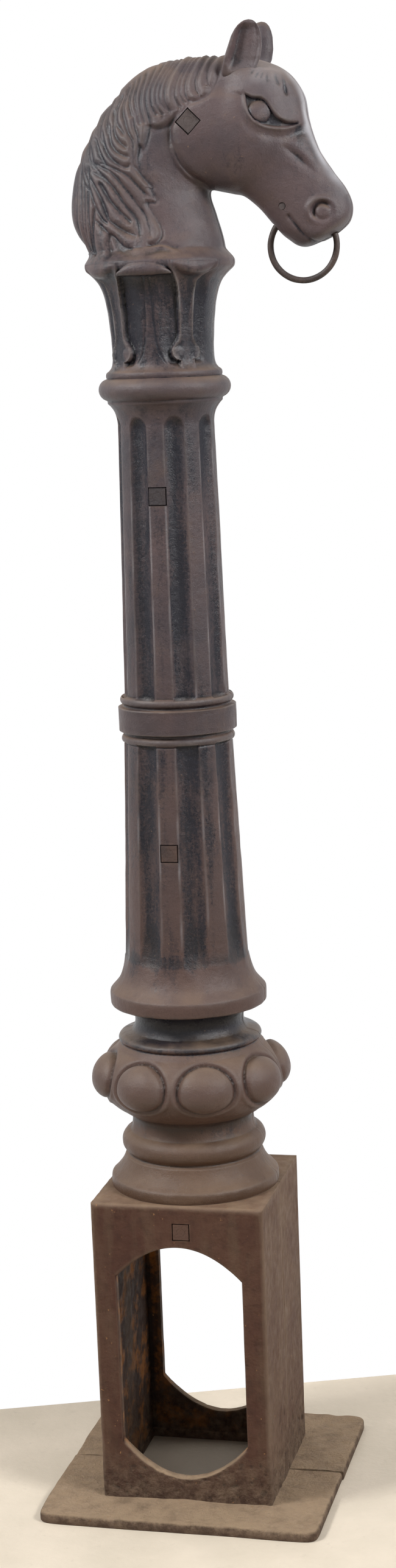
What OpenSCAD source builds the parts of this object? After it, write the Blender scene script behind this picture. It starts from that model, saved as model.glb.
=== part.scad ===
// Cast iron hitching post with a horse head. Two hollow half castings stand face to face,
// four bolts and a rivet hold them together, and a loose ring hangs in the muzzle.
// Millimetres, Z up. The horse looks along +X and the halves part on the plane Y = 0.

/* [Base plate] */
// Width of the plate, along X
plate_w = 330; // [280:1:380]
// Depth of the plate, along Y
plate_d = 332; // [280:1:380]
// Thickness of the plate
plate_t = 12; // [8:0.5:18]
// Radius of the plate's corners
plate_corner_r = 14; // [6:1:30]

/* [Plinth] */
// Width of the box, along X
plinth_w = 200; // [180:1:240]
// Depth of the box, along Y
plinth_d = 206; // [190:1:240]
// Height of the box above the plate
plinth_h = 355; // [320:1:400]
// Thickness of the box's walls and top
plinth_wall = 11; // [9:0.5:14]
// Width of the window in the front and back walls
window_w = 147; // [110:1:160]
// Height of the window's lowest point above the plate
window_sill = 26; // [15:1:50]
// Iron left between the window's highest point and the box's top
window_head = 49; // [46:1:70]
// Rise of the arch over the window
arch_rise = 38; // [20:1:60]
// Fall of the curved sill below the jambs
sill_fall = 42; // [20:1:60]

/* [Column] */
// Radius of the foot on the plinth
foot_r = 97; // [90:0.5:99]
// Largest radius of the bulb above the foot
bulb_r = 108; // [100:0.5:114]
// Height of the mouldings from the plinth to the lower shaft
pedestal_h = 273; // [265:1:285]
// Radius of the bosses round the bulb
boss_r = 31; // [24:0.5:34]
// Height that the bosses stand proud of the bulb
boss_proud = 2.5; // [1:0.1:4]
// Radius of the lower shaft at its bottom
lower_shaft_r = 70; // [66:0.5:74]
// Height of the lower shaft
lower_shaft_h = 244; // [200:1:300]
// Radius of the band between the shafts
band_r = 66; // [64:0.5:70]
// Height of the band with its two beads
band_h = 54; // [48:1:60]
// Radius of the upper shaft at its bottom
upper_shaft_r = 58.5; // [56:0.5:60]
// Height of the upper shaft
upper_shaft_h = 299; // [250:1:360]
// Radius of the upper shaft at its top
shaft_top_r = 53; // [50:0.5:55]
// Depth of the flutes
flute_depth = 3.6; // [2:0.1:5]
// Width of the flutes across the surface
flute_w = 23; // [16:0.5:25]
// Radius of the hollow core at the foot
core_foot_r = 49; // [40:0.5:52]
// Radius of the hollow core at the capital
core_top_r = 42; // [34:0.5:43]

/* [Capital] */
// Height of the capital, from the upper shaft to the collar
capital_h = 171; // [166:1:180]
// Radius of the collar's lip
lip_r = 82; // [79:0.5:86]
// Radius of the ring moulding under the capital
astragal_r = 72.5; // [68:0.5:75]
// Depth of the channels in the capital
channel_depth = 4; // [2:0.1:6]

/* [Head] */
// Reach of the muzzle in front of the column's axis
head_reach = 212; // [200:1:225]
// Height of the poll above the collar
head_h = 212; // [200:1:225]
// Half thickness of the neck at the collar
neck_root_half = 66; // [60:0.5:70]
// Half thickness of the neck at the throat
neck_half = 52; // [46:0.5:56]
// Half thickness of the head at the cheeks
cheek_half = 46; // [42:0.5:50]
// Half thickness of the head at the nose
nose_half = 30; // [27:0.5:33]
// Half thickness of the muzzle
muzzle_half = 27; // [26:0.5:31]
// Thickness of the head's wall
head_wall = 6; // [5:0.5:7]
// Height of the ears above the poll
ear_h = 38; // [28:1:46]
// Distance from the parting plane to the middle of an ear
ear_spread = 33; // [28:0.5:36]

/* [Bolts] */
// Diameter of the bolts
bolt_d = 9.5; // [8:0.5:10]
// Gap between a bolt and its hole, at each side
bolt_clear = 0.5; // [0.3:0.1:1]
// Gap between a bolt and its nut, at each side
nut_clear = 0.05; // [0.02:0.01:0.1]
// Width of the square nuts and bolt heads
nut_w = 18; // [16:0.5:19]
// Thickness of the nuts and bolt heads
nut_t = 7; // [5:0.5:8]
// Gap round a nut in its pocket
pocket_clear = 0.4; // [0.2:0.1:0.8]
// Radius of the bosses inside the castings that the bolts pass through
bolt_boss_r = 17; // [14:0.5:19]
// Drop of the plinth bolt below the top of the plinth
plinth_bolt_drop = 30; // [27:0.5:36]
// Distance of the plinth bolt from the middle of the box, along X
plinth_bolt_x = 5; // [-10:1:10]
// Diameter of the mouth rivet
rivet_d = 6.6; // [5:0.2:7]

/* [Ring] */
// Outer diameter of the ring
ring_od = 79; // [76:0.5:82]
// Diameter of the ring's bar
ring_bar = 7; // [5:0.5:8]
// Gap between the bar and its slots, in the ring's plane
ring_clear = 0.9; // [0.8:0.05:1]
// Sideways room for the bar in its slots, at each side
ring_sway = 3.6; // [3:0.1:4.2]

/* [Hidden] */
$fn = 64;

// Colours of the castings, the fasteners and the ring
iron_brown = [0.30, 0.26, 0.24];
plinth_brown = [0.33, 0.24, 0.20];
fastener_brown = [0.36, 0.31, 0.27];
ring_brown = [0.24, 0.20, 0.19];

// A cut runs past the faces that it opens by this much
past = 1;
// Larger than the whole post, for half spaces
far = 2000;

// The head's pattern is drawn for this reach and height, and takes the real ones from head_reach and head_h
pattern_reach = 212;
pattern_h = 212;
function on_head(p) = [p[0] * head_reach / pattern_reach, p[1] * head_h / pattern_h];
function on_pattern(p) = [p[0] * pattern_reach / head_reach, p[1] * pattern_h / head_h];

// Heights of the castings' moulding lines above the floor
plinth_z = plate_t;
column_z = plinth_z + plinth_h;
lower_shaft_z = column_z + pedestal_h;
band_z = lower_shaft_z + lower_shaft_h;
upper_shaft_z = band_z + band_h;
capital_z = upper_shaft_z + upper_shaft_h;
collar_z = capital_z + capital_h;

// Radius of the lower shaft under the band, where it meets the lower bead
lower_shaft_top_r = band_r - 5;
// Pitch circle of the flutes and bosses: eight round the post, four to a half
flute_angles = [-67.5, -22.5, 22.5, 67.5];
flute_r = (flute_w * flute_w / 4 + flute_depth * flute_depth) / (2 * flute_depth);

// Heights and seats of the bolts. A seat is the distance of a nut's face from the parting plane
plinth_bolt_z = column_z - plinth_bolt_drop;
lower_bolt_z = lower_shaft_z + lower_shaft_h / 2 + 4;
upper_bolt_z = upper_shaft_z + upper_shaft_h * 0.74;
cheek_bolt_x = on_head([48, 142])[0];
cheek_bolt_z = collar_z + on_head([48, 142])[1];
plinth_seat = plinth_d / 2;
lower_seat = shaft_r(lower_shaft_r, lower_shaft_top_r, (lower_bolt_z - lower_shaft_z) / lower_shaft_h);
upper_seat = shaft_r(upper_shaft_r, shaft_top_r, (upper_bolt_z - upper_shaft_z) / upper_shaft_h);
cheek_seat = cheek_half + 1;
// Mouth rivet and the half thickness of the head there
rivet_x = on_head([142, 51])[0];
rivet_z = collar_z + on_head([142, 51])[1];
rivet_seat = muzzle_half - 0.5;

// The ring's middle circle and the two slots that it runs through, in the parting plane
ring_mid_r = (ring_od - ring_bar) / 2;
ring_x = on_head([159, 10])[0];
ring_z = collar_z + on_head([159, 10])[1];
slot_angles = [144, 14];
slot_len = 24;

// Radius of a tapered shaft at a share of its height
function shaft_r(bottom, top, share) = bottom + (top - bottom) * share;

// Smooth curve through a list of points or numbers, u from 0 to 1
function curve(p, u) =
    let (
        n = len(p) - 1,
        i = min(floor(u * n), n - 1),
        f = u * n - i,
        a = p[max(i - 1, 0)],
        b = p[i],
        c = p[i + 1],
        d = p[min(i + 2, n)]
    )
    b + f * (c - a) / 2 + f * f * (a - 2.5 * b + 2 * c - d / 2) + f * f * f * (1.5 * b - 1.5 * c + (d - a) / 2);

// Soft step from 0 to 1 as v runs from lo to hi
function soft_step(lo, hi, v) =
    let (s = min(max((v - lo) / (hi - lo), 0), 1))
    s * s * (3 - 2 * s);

// Bump of height 1 at a point of the side view, fading over the radii rx and rz
function bump(x, z, cx, cz, rx, rz) = exp(-pow((x - cx) / rx, 2) - pow((z - cz) / rz, 2));

// Stations of the head, from the collar round the poll to the lips. The crest and face line and
// the throat and jaw line are [x, height above the collar], and pair up with a half thickness
crest_pattern = [[-92, 42], [-92, 80], [-81, 117], [-54, 161], [-14, 197], [33, 212], [80, 211],
    [122, 202], [147, 189], [163, 166], [168, 140], [178, 109], [192, 87], [205, 69], [211.5, 54],
    [212, 42], [208, 32], [199, 23]];
throat_pattern = [[71, 26], [63, 50], [59, 64], [59, 71], [62, 72.5], [68, 71.5], [76, 69.5], [86, 67],
    [96, 64.5], [106, 57], [116, 47], [126, 35], [136, 23.5], [145, 16], [153, 10.5], [162, 9],
    [174, 12], [187, 17.5]];
crest_line = [[-lip_r + 2, 0], for (p = crest_pattern) on_head(p)];
throat_line = [[lip_r - 3, 0], for (p = throat_pattern) on_head(p)];
half_line = [neck_root_half, neck_half + 5, neck_half + 1, neck_half, neck_half - 2, cheek_half + 2,
    cheek_half, cheek_half, cheek_half - 1, cheek_half - 3, (cheek_half + nose_half) / 2, nose_half + 3,
    nose_half, nose_half - 1, muzzle_half + 1, muzzle_half, muzzle_half - 1, muzzle_half - 6, 0];
// The hollow stops short of the lips, as a share of the way from the collar
hollow_share = 0.955;
head_steps = 54;
side_steps = 18;
// Radii of an ear at its root, middle and tip
ear_root_r = 13;
ear_middle_r = 11;
ear_tip_r = 4;

// Relief of the head's side over its rounded form: mane, cheek, groove behind the jaw, brow, eye, nostril
function mane(x, z) =
    let (d = (x + 8) * 0.62 - (z - 112) * 0.79 + 30)
    soft_step(6, -6, d) * (2.2 + 1.2 * sin(9 * (x + 1.3 * z)));
function cheek(x, z) =
    let (d = norm([x - 80, z - 122]))
    2.5 * soft_step(56, 42, d) - 5 * exp(-pow((d - 57) / 7, 2)) * soft_step(70, 48, x) * soft_step(20, 60, z);
function brow(x, z) = 5 * bump(x, z, 125, 162, 26, 12) - 3 * bump(x, z, 136, 146, 22, 14);
function eye(x, z) = 5 * bump(x, z, 125, 146, 11, 9);
function nostril(x, z) = 3 * bump(x, z, 188, 46, 20, 18) - 8 * bump(x, z, 187, 45, 8, 8);
function relief(p) =
    mane(p[0], p[1]) + cheek(p[0], p[1]) + brow(p[0], p[1]) + eye(p[0], p[1]) + nostril(p[0], p[1]);

// A point of the head's side: u runs from the collar to the lips, turn from crest to throat
function head_point(u, turn) =
    let (
        crest = curve(crest_line, u),
        throat = curve(throat_line, u),
        p = (crest + throat) / 2 + (crest - throat) / 2 * cos(turn),
        swell = u < 1 ? max(curve(half_line, u), 0) : 0,
        lift = relief(on_pattern(p)) * soft_step(0, 0.05, u) * soft_step(0, 0.5, sin(turn)) * min(swell / 20, 1)
    )
    [p[0], -pow(sin(turn), 0.86) * swell - lift * sin(turn), collar_z + p[1]];

// The same point on the hollow inside
function hollow_point(u, turn) =
    let (
        crest = curve(crest_line, u * hollow_share),
        throat = curve(throat_line, u * hollow_share),
        inset = head_wall * (throat - crest) / norm(throat - crest),
        p = (crest + throat) / 2 + ((crest - throat) / 2 + inset) * cos(turn),
        swell = u < 1 ? curve(half_line, u * hollow_share) - head_wall - 2 : 0
    )
    [p[0], -sin(turn) * swell, collar_z + p[1]];

// Two triangles over a square of four point numbers
function square_faces(a, b, c, d) = [[a, c, b], [a, d, c]];

// The hollow half head as one closed shell: outside, inside and the rims that join them
module head_shell() {
    row = side_steps + 1;
    inside = (head_steps + 1) * row;
    outer = [for (i = [0:head_steps], k = [0:side_steps]) head_point(i / head_steps, 180 * k / side_steps)];
    inner = [for (i = [0:head_steps], k = [0:side_steps]) hollow_point(i / head_steps, 180 * k / side_steps)];
    skin = [
        for (i = [0:head_steps - 1], k = [0:side_steps - 1])
            each square_faces(i * row + k, i * row + k + 1, (i + 1) * row + k + 1, (i + 1) * row + k)
    ];
    lining = [for (f = skin) [f[2] + inside, f[1] + inside, f[0] + inside]];
    sides = [
        for (i = [0:head_steps - 1], k = [0, side_steps])
            let (a = i * row + k, b = a + row)
            each k == 0
                ? square_faces(a, b, b + inside, a + inside)
                : square_faces(b, a, a + inside, b + inside)
    ];
    ends = [
        for (i = [0, head_steps], k = [0:side_steps - 1])
            let (a = i * row + k, b = a + 1)
            each i == 0
                ? square_faces(b, a, a + inside, b + inside)
                : square_faces(a, b, b + inside, a + inside)
    ];
    polyhedron(concat(outer, inner), concat(skin, lining, sides, ends), convexity = 6);
}

// An upright ear, rooted in the poll
module ear() {
    root = on_head([104, 190]);
    hull($fn = 20) {
        translate([root[0], -ear_spread + 2, collar_z + root[1]]) sphere(ear_root_r);
        translate([root[0] + 5, -ear_spread - 2, collar_z + head_h - 1 + ear_h / 3]) sphere(ear_middle_r);
        translate([root[0] + 9, -ear_spread - 4, collar_z + head_h - 1 + ear_h - ear_tip_r]) sphere(ear_tip_r);
    }
}

// A bolt or nut hole across one half, with the square pocket that lets the nut in flush
module bolt_cut(x, z, seat, turn) {
    translate([x, 0, z]) rotate([90, 0, 0]) {
        translate([0, 0, -past]) cylinder(r = bolt_d / 2 + bolt_clear, h = seat + 2 * past);
        translate([0, 0, seat - nut_t]) rotate([0, 0, turn]) nut_block(nut_w + 2 * pocket_clear, nut_t + 30);
    }
}

// Solid that a bolt passes through inside a half, from the parting plane to its wall
module bolt_boss(x, z, depth) {
    translate([x, 0, z]) rotate([90, 0, 0]) cylinder(r = bolt_boss_r, h = depth);
}

// A square block standing on the plane that its bolt crosses
module nut_block(w, t) {
    translate([-w / 2, -w / 2, 0]) cube([w, w, t]);
}

// Slots for the ring's bar, one under the chin and one behind the lip
module ring_slots() {
    for (a = slot_angles)
        translate([ring_x + ring_mid_r * cos(a), 0, ring_z + ring_mid_r * sin(a)]) rotate([0, -a, 0])
            translate([0, 0, -slot_len / 2]) linear_extrude(slot_len) slot_outline();
}

// Oblong across the parting plane that the ring's bar passes through
module slot_outline() {
    slot_r = ring_bar / 2 + ring_clear;
    for (side = [-1, 1])
        translate([0, side * ring_sway]) circle(slot_r);
    translate([-slot_r, -ring_sway]) square([2 * slot_r, 2 * ring_sway]);
}

module head_half() {
    difference() {
        union() {
            head_shell();
            ear();
            bolt_boss(cheek_bolt_x, cheek_bolt_z, cheek_half - head_wall / 2);
        }
        bolt_cut(cheek_bolt_x, cheek_bolt_z, cheek_seat, 45);
        translate([rivet_x, past, rivet_z]) rotate([90, 0, 0]) cylinder(r = rivet_d / 2, h = muzzle_half + 10);
        ring_slots();
    }
}

// Bell of the capital above the astragal: a tall waist, [radius, share of its height], under the
// collar's flared lip, [radius, height above the waist]
astragal_h = 55;
lip_h = 29;
bell_z = capital_z + astragal_h;
bell_h = capital_h - astragal_h;
waist_h = bell_h - lip_h;
waist_line = [[62, 0], [57, 0.09], [55.5, 0.21], [56, 0.39], [58, 0.62], [61.5, 0.9], [64.5, 1]];
lip_line = [[lip_r - 12, 8], [lip_r - 5, 15], [lip_r - 0.5, 20], [lip_r, 24], [lip_r - 1, lip_h - 1.5],
    [lip_r - 3, lip_h]];
bell_line = [for (p = waist_line) [p[0], p[1] * waist_h], for (p = lip_line) [p[0], waist_h + p[1]]];

// Outline of the bell, drawn in by the given depth
module bell_outline(inset) {
    translate([0, bell_z]) polygon([[0, 0], for (p = bell_line) [p[0] - inset, p[1]], [0, bell_h]]);
}

// One channel of a capital panel, seen from outside: wide under its arch, round at the bottom
module channel_outline() {
    round_z = 26;
    polygon([[2, waist_h + 9], [29, waist_h + 3], [28, round_z], [11, round_z]]);
    translate([19.5, round_z]) circle(8.5);
}

// Side view of the column from the axis outwards, up to the shaft of the capital
module column_outline() {
    // Foot, torus and waist
    polygon([[0, column_z], [foot_r, column_z], [foot_r, column_z + 11], [foot_r - 3, column_z + 13],
        [80, column_z + 36], [76, column_z + 39], [72, column_z + 72], [72, column_z + 80], [0, column_z + 80]]);
    translate([69, column_z + 51]) circle(14);
    // Bulb, then the flared lip, neck and flange above it
    translate([bulb_r - 49, column_z + 125]) circle(49);
    translate([0, column_z + 76]) square([bulb_r - 49, 98]);
    difference() {
        polygon([[0, column_z + 160], [81, column_z + 160], [81, column_z + 180], [70, column_z + 196],
            [86, column_z + 213], [89, column_z + 215], [89, column_z + 231], [87, column_z + 233],
            [0, column_z + 233]]);
        translate([82, column_z + 196]) circle(19.5);
    }
    // Slope down from the lower shaft to the flange, hollowed at its top
    polygon([[0, column_z + 232], [87, column_z + 232], [lower_shaft_r + 5, column_z + 252],
        [lower_shaft_r + 1.5, lower_shaft_z - 12], [lower_shaft_r, lower_shaft_z], [0, lower_shaft_z]]);
    // Lower shaft, band and upper shaft
    polygon([[0, lower_shaft_z], [lower_shaft_r, lower_shaft_z], [lower_shaft_top_r, band_z], [0, band_z]]);
    band_outline();
    polygon([[0, upper_shaft_z], [upper_shaft_r, upper_shaft_z], [shaft_top_r, capital_z], [0, capital_z]]);
    // Hollow under the astragal, the astragal and its fillets
    difference() {
        translate([0, capital_z]) square([63, 25]);
        translate([63 + 14, capital_z]) circle(24);
    }
    translate([0, capital_z + 25]) square([61, 24]);
    translate([astragal_r - 12, capital_z + 37]) circle(12);
    translate([0, capital_z + 49]) square([63, 6]);
    bell_outline(0);
}

// Band between the shafts, with a bead above and below its plain face
module band_outline() {
    bead_r = 5;
    translate([0, band_z]) square([band_r - 6, band_h]);
    for (z = [band_z + bead_r, upper_shaft_z - bead_r])
        translate([band_r - 3 - bead_r, z]) circle(bead_r);
    translate([0, band_z + 2 * bead_r + 3]) square([band_r, band_h - 4 * bead_r - 6]);
}

// A flute as a round bar laid in the shaft's face, with a round end where it runs out
module flute(r0, z0, r1, z1, round_low, round_high) {
    lean = atan((r1 - r0) / (z1 - z0));
    length = norm([r1 - r0, z1 - z0]);
    translate([r0 - flute_depth + flute_r, 0, z0]) rotate([0, lean, 0]) {
        cylinder(r = flute_r, h = length);
        if (round_low)
            sphere(flute_r);
        if (round_high)
            translate([0, 0, length]) sphere(flute_r);
    }
}

// Places what is drawn towards +X on the eight rays round the right half
module round_the_half(angles) {
    for (a = angles)
        rotate([0, 0, a - 90]) children();
}

// A round boss on the bulb with the groove that rings it
module boss_disc(r, proud) {
    intersection() {
        translate([0, 0, column_z + 125]) rotate([0, 90, 0]) cylinder(r = r, h = bulb_r + 20);
        rotate_extrude() bulb_outline(proud);
    }
}

module bulb_outline(proud) {
    intersection() {
        translate([bulb_r - 49, column_z + 125]) circle(49 + proud);
        translate([0, column_z]) square([far, 300]);
    }
}

module boss_groove(groove_w, groove_depth) {
    difference() {
        translate([0, 0, column_z + 125]) rotate([0, 90, 0]) cylinder(r = boss_r + groove_w, h = bulb_r + 20);
        translate([0, 0, column_z + 125]) rotate([0, 90, 0]) cylinder(r = boss_r, h = bulb_r + 20);
        rotate_extrude() {
            bulb_outline(-groove_depth);
            translate([0, column_z]) square([bulb_r - 49, 300]);
        }
    }
}

// Half space of the right casting
module right_side(z0, z1) {
    translate([-far / 2, -far / 2, z0]) cube([far, far / 2, z1 - z0]);
}

module column_half() {
    difference() {
        union() {
            intersection() {
                column_solid();
                right_side(column_z, collar_z);
            }
            bolt_boss(0, lower_bolt_z, lower_seat - nut_t);
            bolt_boss(0, upper_bolt_z, upper_seat - nut_t);
        }
        bolt_cut(0, lower_bolt_z, lower_seat, 0);
        bolt_cut(0, upper_bolt_z, upper_seat, 0);
    }
}

module column_solid() {
    difference() {
        union() {
            rotate_extrude() column_outline();
            round_the_half(flute_angles) boss_disc(boss_r, boss_proud);
        }
        translate([0, 0, column_z - past])
            cylinder(r1 = core_foot_r, r2 = core_top_r, h = collar_z - column_z + 2 * past);
        round_the_half(flute_angles) {
            boss_groove(3, 3);
            flute(lower_shaft_r + 0.4, lower_shaft_z - 6, lower_shaft_top_r, band_z, true, false);
            flute(upper_shaft_r, upper_shaft_z, shaft_top_r, capital_z - 14, false, true);
        }
        capital_channels();
    }
}

// Two channels to each panel of the capital; the panels face the four sides of the plinth
module capital_channels() {
    difference() {
        for (panel = [-90, 0, 90], side = [0, 1])
            rotate([0, 0, panel]) mirror([side, 0, 0])
                translate([0, 0, bell_z]) rotate([90, 0, 0]) linear_extrude(lip_r + 10) channel_outline();
        rotate_extrude() bell_outline(channel_depth);
    }
}

// Radius of an arc that spans the window's width and rises this much
function arc_r(rise) = (window_w * window_w / 4 + rise * rise) / (2 * rise);

// The window of the plinth: straight jambs under a flat arch, over a curved sill
module window_outline() {
    low = window_sill + sill_fall;
    high = plinth_h - window_head - arch_rise;
    lap = 5;
    intersection() {
        translate([-window_w / 2, 0]) square([window_w, plinth_h]);
        union() {
            translate([0, high + arch_rise - arc_r(arch_rise)]) circle(arc_r(arch_rise));
            translate([0, low - sill_fall + arc_r(sill_fall)]) circle(arc_r(sill_fall));
            translate([-window_w, low + lap]) square([2 * window_w, high - low - 2 * lap]);
        }
    }
}

// The base plate's half, with round outer corners, open under the box
module plate_half() {
    difference() {
        union() {
            translate([-plate_w / 2, -plate_d / 2 + plate_corner_r, 0])
                cube([plate_w, plate_d / 2 - plate_corner_r, plate_t]);
            translate([-plate_w / 2 + plate_corner_r, -plate_d / 2, 0])
                cube([plate_w - 2 * plate_corner_r, plate_d / 2, plate_t]);
            for (side = [-1, 1])
                translate([side * (plate_w / 2 - plate_corner_r), -plate_d / 2 + plate_corner_r, 0])
                    cylinder(r = plate_corner_r, h = plate_t);
        }
        inside_half(-past, plate_t + past);
    }
}

// The space between the walls of the box, on the right of the parting plane
module inside_half(z0, z1) {
    translate([-plinth_w / 2 + plinth_wall, -plinth_d / 2 + plinth_wall, z0])
        cube([plinth_w - 2 * plinth_wall, plinth_d / 2 - plinth_wall + past, z1 - z0]);
}

module plinth_half() {
    difference() {
        union() {
            plate_half();
            difference() {
                translate([-plinth_w / 2, -plinth_d / 2, plinth_z]) cube([plinth_w, plinth_d / 2, plinth_h]);
                inside_half(plinth_z - past, column_z - plinth_wall);
                translate([0, 0, plinth_z]) rotate([90, 0, 0]) linear_extrude(plinth_d) window_outline();
                translate([0, 0, column_z - 2 * plinth_wall]) cylinder(r = core_foot_r, h = 4 * plinth_wall);
            }
            translate([plinth_bolt_x, -plinth_d / 2 + 2 * plinth_wall, plinth_bolt_z]) rotate([90, 0, 0])
                cylinder(r = bolt_boss_r, h = 2 * plinth_wall - nut_t / 2);
        }
        bolt_cut(plinth_bolt_x, plinth_bolt_z, plinth_seat, 0);
    }
}

// A bolt across both halves: square head on the left, its end flush with the nut on the right
module bolt(x, z, seat, turn) {
    translate([x, seat, z]) rotate([90, 0, 0]) {
        cylinder(r = bolt_d / 2, h = 2 * seat);
        rotate([0, 0, turn]) nut_block(nut_w, nut_t);
    }
}

// A square nut on the right side, flush with the casting
module nut(x, z, seat, turn) {
    translate([x, -seat + nut_t, z]) rotate([90, 0, 0]) difference() {
        rotate([0, 0, turn]) nut_block(nut_w, nut_t);
        translate([0, 0, -past]) cylinder(r = bolt_d / 2 + nut_clear, h = nut_t + 2 * past);
    }
}

module right_head_half() {
    color(iron_brown) head_half();
}

module left_head_half() {
    color(iron_brown) mirror([0, 1, 0]) head_half();
}

module right_column_half() {
    color(iron_brown) column_half();
}

module left_column_half() {
    color(iron_brown) mirror([0, 1, 0]) column_half();
}

module right_plinth_half() {
    color(plinth_brown) plinth_half();
}

module left_plinth_half() {
    color(plinth_brown) mirror([0, 1, 0]) plinth_half();
}

module cheek_bolt() {
    color(fastener_brown) bolt(cheek_bolt_x, cheek_bolt_z, cheek_seat, 45);
}

module upper_shaft_bolt() {
    color(fastener_brown) bolt(0, upper_bolt_z, upper_seat, 0);
}

module lower_shaft_bolt() {
    color(fastener_brown) bolt(0, lower_bolt_z, lower_seat, 0);
}

module plinth_bolt() {
    color(fastener_brown) bolt(plinth_bolt_x, plinth_bolt_z, plinth_seat, 0);
}

module cheek_nut() {
    color(fastener_brown) nut(cheek_bolt_x, cheek_bolt_z, cheek_seat, 45);
}

module upper_shaft_nut() {
    color(fastener_brown) nut(0, upper_bolt_z, upper_seat, 0);
}

module lower_shaft_nut() {
    color(fastener_brown) nut(0, lower_bolt_z, lower_seat, 0);
}

module plinth_nut() {
    color(fastener_brown) nut(plinth_bolt_x, plinth_bolt_z, plinth_seat, 0);
}

// A rivet through both halves at the corner of the mouth, finished flush
module mouth_rivet() {
    color(fastener_brown) translate([rivet_x, rivet_seat, rivet_z]) rotate([90, 0, 0])
        cylinder(r = rivet_d / 2, h = 2 * rivet_seat);
}

// The ring stands in the parting plane, its upper side inside the muzzle
module hitching_ring() {
    color(ring_brown) translate([ring_x, 0, ring_z]) rotate([90, 0, 0])
        rotate_extrude() translate([ring_mid_r, 0]) circle(ring_bar / 2);
}

right_head_half();
left_head_half();
right_column_half();
left_column_half();
right_plinth_half();
left_plinth_half();
cheek_bolt();
upper_shaft_bolt();
lower_shaft_bolt();
plinth_bolt();
cheek_nut();
upper_shaft_nut();
lower_shaft_nut();
plinth_nut();
mouth_rivet();
hitching_ring();
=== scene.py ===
import itertools

import bmesh
import bpy
import numpy as np
from mathutils import Matrix, Vector


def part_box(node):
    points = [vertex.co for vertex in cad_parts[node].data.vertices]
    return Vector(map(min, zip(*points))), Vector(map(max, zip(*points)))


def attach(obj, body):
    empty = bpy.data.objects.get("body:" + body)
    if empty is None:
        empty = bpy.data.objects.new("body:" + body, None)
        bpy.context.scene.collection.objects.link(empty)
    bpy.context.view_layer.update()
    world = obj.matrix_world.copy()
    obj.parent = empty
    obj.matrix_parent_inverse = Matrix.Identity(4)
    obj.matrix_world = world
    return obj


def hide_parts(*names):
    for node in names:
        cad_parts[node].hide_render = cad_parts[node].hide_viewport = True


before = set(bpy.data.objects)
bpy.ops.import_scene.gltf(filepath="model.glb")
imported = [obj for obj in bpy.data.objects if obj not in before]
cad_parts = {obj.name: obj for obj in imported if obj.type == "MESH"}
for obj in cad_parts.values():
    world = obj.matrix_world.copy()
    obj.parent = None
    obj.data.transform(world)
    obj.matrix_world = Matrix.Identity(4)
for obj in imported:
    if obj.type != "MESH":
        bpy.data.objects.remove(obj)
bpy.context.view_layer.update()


# The plinth is the foot of each half casting: half of a box with an arched window in its face,
# standing on half of a flat plate. It is grey iron, rusted red brown and dusty, cast in sand,
# with its edges worn round and its lowest part pitted from years in wet earth.

METRE = 0.001  # shapes are worked out in millimetres
HALVES = {"right": 1, "left": -1}  # the right half lies at negative Y, the left one is its mirror


def node_box(node):
    """Lowest and highest corner of a CAD node, in millimetres."""
    low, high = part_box(node)
    return np.array(low) / METRE, np.array(high) / METRE


def soft_step(start, end, value):
    """Goes from 0 to 1 as the value goes from start to end, level at both ends: 3s^2 - 2s^3."""
    share = np.clip((value - start) / (end - start), 0, 1)
    return share * share * (3 - 2 * share)


SCATTER = np.array([12.9898, 78.233, 37.719])  # uneven steps and a large factor, which scatter the heights
SCATTER_WIDE = 43758.5453


def lumps(points, size, seed):
    """Uneven cast surface: heights from -1 to 1 on a cubic lattice of this size, blended between its
    corners."""
    cell = np.floor(points / size)
    share = points / size - cell
    share = share * share * (3 - 2 * share)
    height = np.zeros(points.shape[:-1])
    for corner in itertools.product((0, 1), repeat=3):
        place = (cell + corner) @ SCATTER + seed
        weight = np.prod(np.where(corner, share, 1 - share), axis=-1)
        height += weight * (2 * np.mod(np.sin(place) * SCATTER_WIDE, 1) - 1)
    return height


def cast_skin(points, *grains):
    """What the sand mould leaves: a sum of lumps, each given by its height, its size and its seed."""
    return sum(height * lumps(points, size, seed) for height, size, seed in grains)


def quads(rows, columns, first=0, ring=False, tube=False):
    """Faces over a grid stored row by row. A ring joins its last row to the first, a tube its last column."""
    i, k = np.meshgrid(np.arange(rows - (not ring)), np.arange(columns - (not tube)), indexing="ij")
    below, beside = (i + 1) % rows, (k + 1) % columns
    corners = [i * columns + k, i * columns + beside, below * columns + beside, below * columns + k]
    return (first + np.stack(corners, -1).reshape(-1, 4)).tolist()


def closed_tube(rows, columns):
    """Faces of a tube stored row by row, with a flat face over its first and its last row."""
    last = (rows - 1) * columns
    return quads(rows, columns, tube=True) + [list(range(columns))[::-1], list(range(last, last + columns))]


def add_piece(name, points, faces):
    """A mesh object from points in millimetres, turned so that its closed surface faces outwards."""
    mesh = bpy.data.meshes.new(name)
    mesh.from_pydata(points.reshape(-1, 3) * METRE, [], faces)
    shape = bmesh.new()
    shape.from_mesh(mesh)
    if shape.calc_volume(signed=True) < 0:
        bmesh.ops.reverse_faces(shape, faces=shape.faces[:])
    shape.to_mesh(mesh)
    shape.free()
    piece = bpy.data.objects.new(name, mesh)
    bpy.context.scene.collection.objects.link(piece)
    return piece


def carve(piece, cutters):
    """Takes the closed cutters out of a piece."""
    for cutter in cutters:
        cut = piece.modifiers.new("cut", "BOOLEAN")
        cut.object = cutter
        cut.solver = "MANIFOLD"
    mesh = bpy.data.meshes.new_from_object(piece.evaluated_get(bpy.context.evaluated_depsgraph_get()))
    mesh.materials.clear()
    piece.modifiers.clear()
    piece.data = mesh
    for cutter in cutters:
        bpy.data.objects.remove(cutter)


def join(piece, other):
    """Takes another object's closed surface into a piece, as one casting."""
    both = bmesh.new()
    both.from_mesh(piece.data)
    both.from_mesh(other.data)
    both.to_mesh(piece.data)
    both.free()
    bpy.data.objects.remove(other)


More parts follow.
